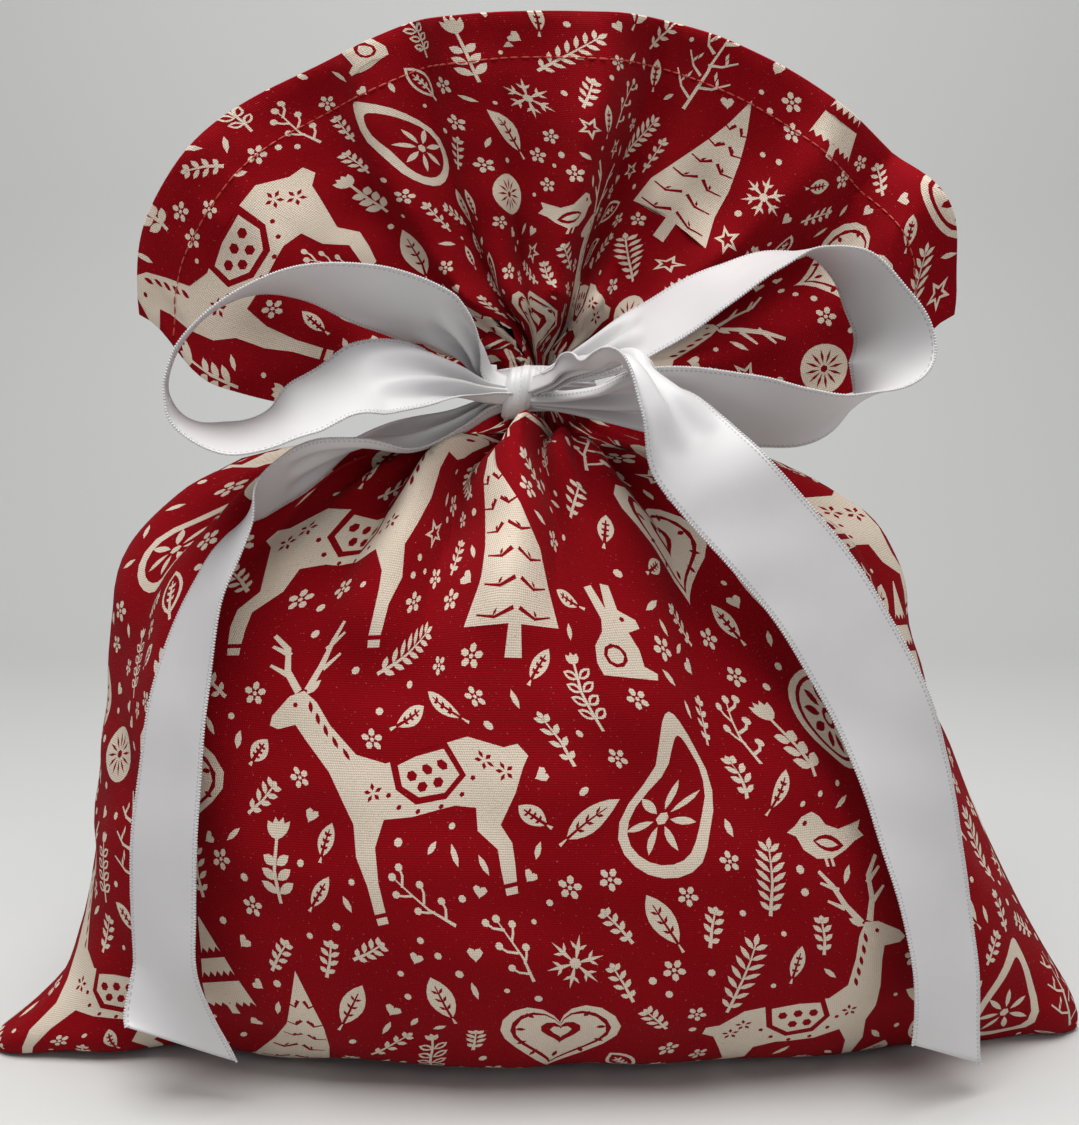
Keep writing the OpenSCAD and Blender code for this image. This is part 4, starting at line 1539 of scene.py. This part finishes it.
def knot_grid():
    """The knot's wrap: a short rounded barrel, creased up its front."""
    low, high = (np.array(corner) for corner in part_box("knot"))
    centre, half = (low + high) / 2, (high - low) / 2
    around = np.linspace(0, 2 * math.pi, 73)[:, None]
    across = np.linspace(-1, 1, 31)[None, :]
    bulge = (1 - 0.32 * np.abs(across) ** 3.2) * (1 - 0.12 * across)
    crease = 0.035 * np.sin(6.5 * across + 0.9 * np.sin(around) + 0.6)
    crease = crease + 0.012 * np.sin(19 * across + 2)
    x = 4.6 * MM * across + 0.9 * MM * np.cos(around)
    y = -np.sin(around) * half[1] * 0.94 * (bulge + crease)
    z = np.cos(around) * half[2] * 0.98 * (bulge + crease) + x * 0.22
    return np.stack([x + 0 * y, y, z], 2) + centre


def wrap_grid():
    """The ribbon round the neck as a closed thin band with soft lengthwise creases."""
    low, high = (np.array(corner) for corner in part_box("neck_band"))
    centre, half = (low + high) / 2, (high - low) / 2
    around = np.linspace(0, 2 * math.pi, 145)[:, None]
    up = np.linspace(-1, 1, 33)[None, :]
    crease = 0.30 * MM * np.sin(11 * up + 1.1 * np.sin(2 * around))
    crease = crease + 0.18 * MM * np.sin(23 * up + np.sin(around) + 1)
    crease = crease + 0.25 * MM * np.sin(7 * around + 2 * up)
    radius = half[0] + 0.1 * MM + crease - 0.9 * MM * np.abs(up) ** 4
    height = up * half[2] * (1 + 0.06 * np.sin(3 * around + 0.5)) - 0.8 * MM * np.sin(around)
    band = np.stack([radius * np.cos(around), radius * np.sin(around), height + 0 * radius], 2)
    inner = band - unit(band * (1, 1, 0)) * 0.9 * MM
    return np.concatenate([band, inner[:, ::-1]], 1) + centre


def tack_lines(low, high, count=9):
    """Short lines across the bar tack, one above the other, and each a little off."""
    lines = []
    for i in range(count):
        z = low[2] + (high[2] - low[2]) * (i + 0.5) / count
        sway = 0.15 * MM * math.sin(2.3 * i)
        lines.append([(low[0] + sway, high[1], z), (high[0] + sway, high[1], z + 0.1 * MM)])
    return lines


def unrolled(grid, wide, long):
    """Even UV places for a grid whose last row meets its first."""
    u, v = np.meshgrid(np.linspace(0, wide, grid.shape[1]), np.linspace(0, long, grid.shape[0] - 1))
    return np.stack([u, v], 2).reshape(-1, 2)


class GIFTPOUCH_OT_knot(bpy.types.Operator):
    """Make the knot, the neck wrap under it and the tack stitches at the back"""

    bl_idname = "giftpouch.knot"
    bl_label = "Knot and Neck Wrap"

    def execute(self, context):
        width = context.scene.giftpouch_ribbon.width
        satin = bpy.data.materials["satin"]
        thread = bpy.data.materials["picot_thread"]
        grid = knot_grid()
        points, faces = closed_barrel(grid)
        uv = np.concatenate([unrolled(grid, width, 0.04), [[0, 0], [width, 0]]])
        knot = add_piece("bow_knot", points, faces, [satin], uv)
        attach(knot, "pouch")
        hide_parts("knot")

        grid = wrap_grid()
        points, faces = closed_ring(grid)
        wrap = add_piece("neck_wrap", points, faces, [satin], unrolled(grid, width, 0.095))
        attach(wrap, "pouch")
        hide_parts("neck_band")

        low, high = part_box("ribbon_tack")
        wide = high[0] - low[0]
        values = {"Pitch": wide * 0.98, "Length": wide * 0.9, "Thread": 0.00022, "Finish": thread}
        tree = thread_tree("tack_stitches", round_ends=True)
        tack = laid_by_nodes("neck_tack", tack_lines(low, high), tree, values)
        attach(tack, "pouch")
        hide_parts("ribbon_tack")
        return {"FINISHED"}


def closed_ring(grid):
    """Joins a grid whose first and last rows meet, and whose columns close on themselves."""
    grid = grid[:-1]
    rows, columns = grid.shape[:2]
    faces = []
    for i in range(rows):
        here, after = i * columns, (i + 1) % rows * columns
        for j in range(columns):
            beside = (j + 1) % columns
            faces.append((here + j, after + j, after + beside, here + beside))
    return grid.reshape(-1, 3), faces


def closed_barrel(grid):
    """Joins a grid whose first and last rows meet and caps both of its open ends."""
    grid = grid[:-1]
    rows, columns = grid.shape[:2]
    points = np.concatenate([grid.reshape(-1, 3), [grid[:, 0].mean(0), grid[:, -1].mean(0)]])
    faces = []
    for i in range(rows):
        here, after = i * columns, (i + 1) % rows * columns
        for j in range(columns - 1):
            faces.append((here + j, here + j + 1, after + j + 1, after + j))
        faces.append((rows * columns, here, after))
        faces.append((rows * columns + 1, after + columns - 1, here + columns - 1))
    return points, faces


# ---------------------------------------------------------------- stitching, seams and filling


class GIFTPOUCH_OT_hem_thread(bpy.types.Operator):
    """Lay the topstitching below the rim of both panels"""

    bl_idname = "giftpouch.hem_thread"
    bl_label = "Hem Topstitching"

    def execute(self, context):
        settings = context.scene.giftpouch_stitch
        thread = thread_finish("topstitch_thread", tuple(settings.colour))
        tree = thread_tree("hem_stitches", round_ends=True)
        row = int(CUT_RIM) - HEM_STITCH
        for name, side, node in (
            ("front_topstitch", 1, "front_hem_thread"),
            ("back_topstitch", -1, "back_hem_thread"),
        ):
            grid = panel_of(side)
            normal = grid_normals(grid)
            line = grid[row, 4:-4] + normal[row, 4:-4] * settings.thread * 0.32
            values = {
                "Pitch": settings.pitch,
                "Length": settings.pitch * 0.86,
                "Thread": settings.thread * 0.5,
                "Finish": thread,
            }
            piece = laid_by_nodes(name, [line], tree, values)
            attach(piece, "ruff")
            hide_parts(node)
        return {"FINISHED"}


def seam_strip(name, path, inward, wide, thick, material):
    """A folded seam allowance: a narrow wavy strip along a path, towards the inside."""
    across = np.linspace(0, 1, 9)[None, :, None]
    run = run_length(path)[:, None]
    wave = 0.25 * MM * np.sin(run / (7 * MM) + 5 * across[0, :, 0][None, :])
    grid = path[:, None] + inward[:, None] * across * wide
    grid[:, :, 1] += wave
    points, faces = shell_of(grid, thick)
    u, v = np.meshgrid(np.linspace(0, wide, 9), run[:, 0])
    uv = np.stack([u, v], 2).reshape(-1, 2)
    return add_piece(name, points, faces, [material], np.concatenate([uv, uv]))


class GIFTPOUCH_OT_seams(bpy.types.Operator):
    """Make the seam allowances inside the pouch and the fanned mouth"""

    bl_idname = "giftpouch.seams"
    bl_label = "Seam Allowances"

    def execute(self, context):
        settings = context.scene.giftpouch_cloth
        cloth = cotton_finish("allowance_cotton", shade(settings.cotton, 0.82), 0, settings.weave_pitch)
        front, back = panel_of(1), panel_of(-1)
        neck = int(CUT_NECK)
        bottom = (front[0, 6:-6:4] + back[0, ::-1][6:-6:4]) / 2
        rows = slice(14, neck - 6, 4)
        high = slice(neck + 10, int(CUT_RIM) - 2, 3)
        parts = [("bottom_allowance", bottom, (0, 0, 1), "bottom_seam", "pouch")]
        for label, column, other, way, in (("left", 0, -1, 1), ("right", -1, 0, -1)):
            side = (front[rows, column] + back[rows, other]) / 2
            parts.append((label + "_allowance", side, (way, 0, 0.0), label + "_side_seam", "pouch"))
            rim = (front[high, column] + back[high, other]) / 2
            parts.append((label + "_mouth_allowance", rim, (0, 0, 1), label + "_ruff_seam", "ruff"))
        for name, path, inward, node, body in parts:
            path = np.asarray(path)
            inward = np.tile(np.array(inward, float), (len(path), 1))
            piece = seam_strip(name, path + inward * 0.6 * MM, inward, 7 * MM, 0.9 * MM, cloth)
            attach(piece, body)
            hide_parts(node)
        return {"FINISHED"}


class GIFTPOUCH_OT_filling(bpy.types.Operator):
    """Make the soft wrapped gift that fills the pouch"""

    bl_idname = "giftpouch.filling"
    bl_label = "Filling"

    def execute(self, context):
        tissue = paper_finish("tissue", (0.78, 0.76, 0.72))
        front, back = panel_of(1), panel_of(-1)
        share = 0.80
        rings = []
        for r in range(48, int(CUT_NECK) - 52, 6):
            face = front[r, 12:-12:8]
            rear = back[r, 12:-12:8]
            ring = np.concatenate([face, rear])
            centre = ring.mean(0)
            ring = centre + (ring - centre) * (share, share, 1)
            ring[:, 2] = centre[2] + 3 * MM
            rings.append(ring)
        grid = np.array(rings)
        along = np.arange(len(grid))[:, None] + 0.0 * grid[:, :, 0]
        turn = np.arange(grid.shape[1])[None, :] + 0.0 * along
        lump = 1 + 0.012 * ripples(turn * 8, along * 6, 5, 8, 60)
        centre = grid.mean(1, keepdims=True)
        grid = centre + (grid - centre) * lump[:, :, None]
        upright = grid[:, ::-1].transpose(1, 0, 2)
        points, faces = closed_barrel(np.concatenate([upright, upright[:1]]))
        piece = add_piece("tissue_filling", points, faces, [tissue])
        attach(piece, "pouch")
        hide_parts("filling")
        return {"FINISHED"}


# ---------------------------------------------------------------- stage


def sweep_mesh(name, material):
    """A floor that curves up into a backdrop behind the pouch."""
    far, bend = 0.95, 0.35
    profile = [(-1.6, 0.0), (far - bend, 0.0)]
    for i in range(1, 13):
        a = math.pi / 2 * i / 12
        profile.append((far - bend + bend * math.sin(a), bend - bend * math.cos(a)))
    profile.append((far, 2.2))
    points = [(x, y, z) for y, z in profile for x in (-2.4, 2.4)]
    faces = [(2 * i, 2 * i + 1, 2 * i + 3, 2 * i + 2) for i in range(len(profile) - 1)]
    return add_piece(name, points, faces, [material])


class GIFTPOUCH_OT_stage(bpy.types.Operator):
    """Set the pale floor, the soft lights and the camera"""

    bl_idname = "giftpouch.stage"
    bl_label = "Stage"

    def execute(self, context):
        settings = context.scene.giftpouch_stage
        floor = sweep_mesh("floor", floor_finish("paper_sweep", tuple(settings.floor)))
        world = bpy.data.worlds.new("soft_room")
        world.use_nodes = True
        room = world.node_tree.nodes["Background"]
        room.inputs["Color"].default_value = (0.93, 0.95, 1.0, 1)
        room.inputs["Strength"].default_value = 0.3
        context.scene.world = world
        for name, place, size, power, colour in (
            ("overhead", (-0.06, -0.3, 1.15), 0.8, 17.0, (1, 0.985, 0.97)),
            ("front_right", (0.75, -1.3, 0.75), 0.6, 2.5, (1, 0.985, 0.96)),
        ):
            data = bpy.data.lights.new(name, "AREA")
            data.shape = "SQUARE"
            data.size = size
            data.energy = power
            data.color = colour
            light = bpy.data.objects.new(name, data)
            light.location = place
            aim = Vector((0, 0, 0.13)) - light.location
            light.rotation_euler = aim.to_track_quat("-Z", "Y").to_euler()
            context.scene.collection.objects.link(light)
        data = bpy.data.cameras.new("camera")
        data.sensor_width = 36
        data.lens = 49.65
        camera = bpy.data.objects.new("camera", data)
        target = Vector((-0.001, 0, 0.1385))
        back = Vector((0, -math.cos(settings.tilt), math.sin(settings.tilt)))
        camera.location = target + back * settings.distance
        camera.rotation_euler = (math.pi / 2 - settings.tilt, 0, 0)
        context.scene.collection.objects.link(camera)
        context.scene.camera = camera
        context.scene.view_settings.view_transform = "Standard"
        return {"FINISHED"}


class GIFTPOUCH_PT_panel(bpy.types.Panel):
    """Sizes, colours and making steps of the gift pouch"""

    bl_idname = "GIFTPOUCH_PT_panel"
    bl_label = "Gift Pouch"
    bl_space_type = "VIEW_3D"
    bl_region_type = "UI"
    bl_category = "Gift Pouch"

    def draw(self, context):
        layout = self.layout
        for label in SETTINGS:
            values = getattr(context.scene, "giftpouch_" + label)
            box = layout.box()
            box.label(text=label.title())
            for key in values.bl_rna.properties.keys():
                if key not in {"rna_type", "name"}:
                    box.prop(values, key)
        for operator in OPERATORS:
            layout.operator(operator.bl_idname)


SETTINGS = {
    "cloth": PouchClothSettings,
    "ribbon": PouchRibbonSettings,
    "stitch": PouchStitchSettings,
    "stage": PouchStageSettings,
}
OPERATORS = (
    GIFTPOUCH_OT_stage,
    GIFTPOUCH_OT_bow,
    GIFTPOUCH_OT_knot,
    GIFTPOUCH_OT_cloth,
    GIFTPOUCH_OT_hem_thread,
    GIFTPOUCH_OT_seams,
    GIFTPOUCH_OT_filling,
)


def register():
    for label, group in SETTINGS.items():
        bpy.utils.register_class(group)
        setattr(bpy.types.Scene, "giftpouch_" + label, PointerProperty(type=group))
    for item in OPERATORS + (GIFTPOUCH_PT_panel,):
        bpy.utils.register_class(item)


def unregister():
    for item in reversed(OPERATORS + (GIFTPOUCH_PT_panel,)):
        bpy.utils.unregister_class(item)
    for label, group in SETTINGS.items():
        delattr(bpy.types.Scene, "giftpouch_" + label)
        bpy.utils.unregister_class(group)


def main():
    register()
    for operator in OPERATORS:
        family, step = operator.bl_idname.split(".")
        getattr(getattr(bpy.ops, family), step)()


if __name__ == "__main__":
    main()
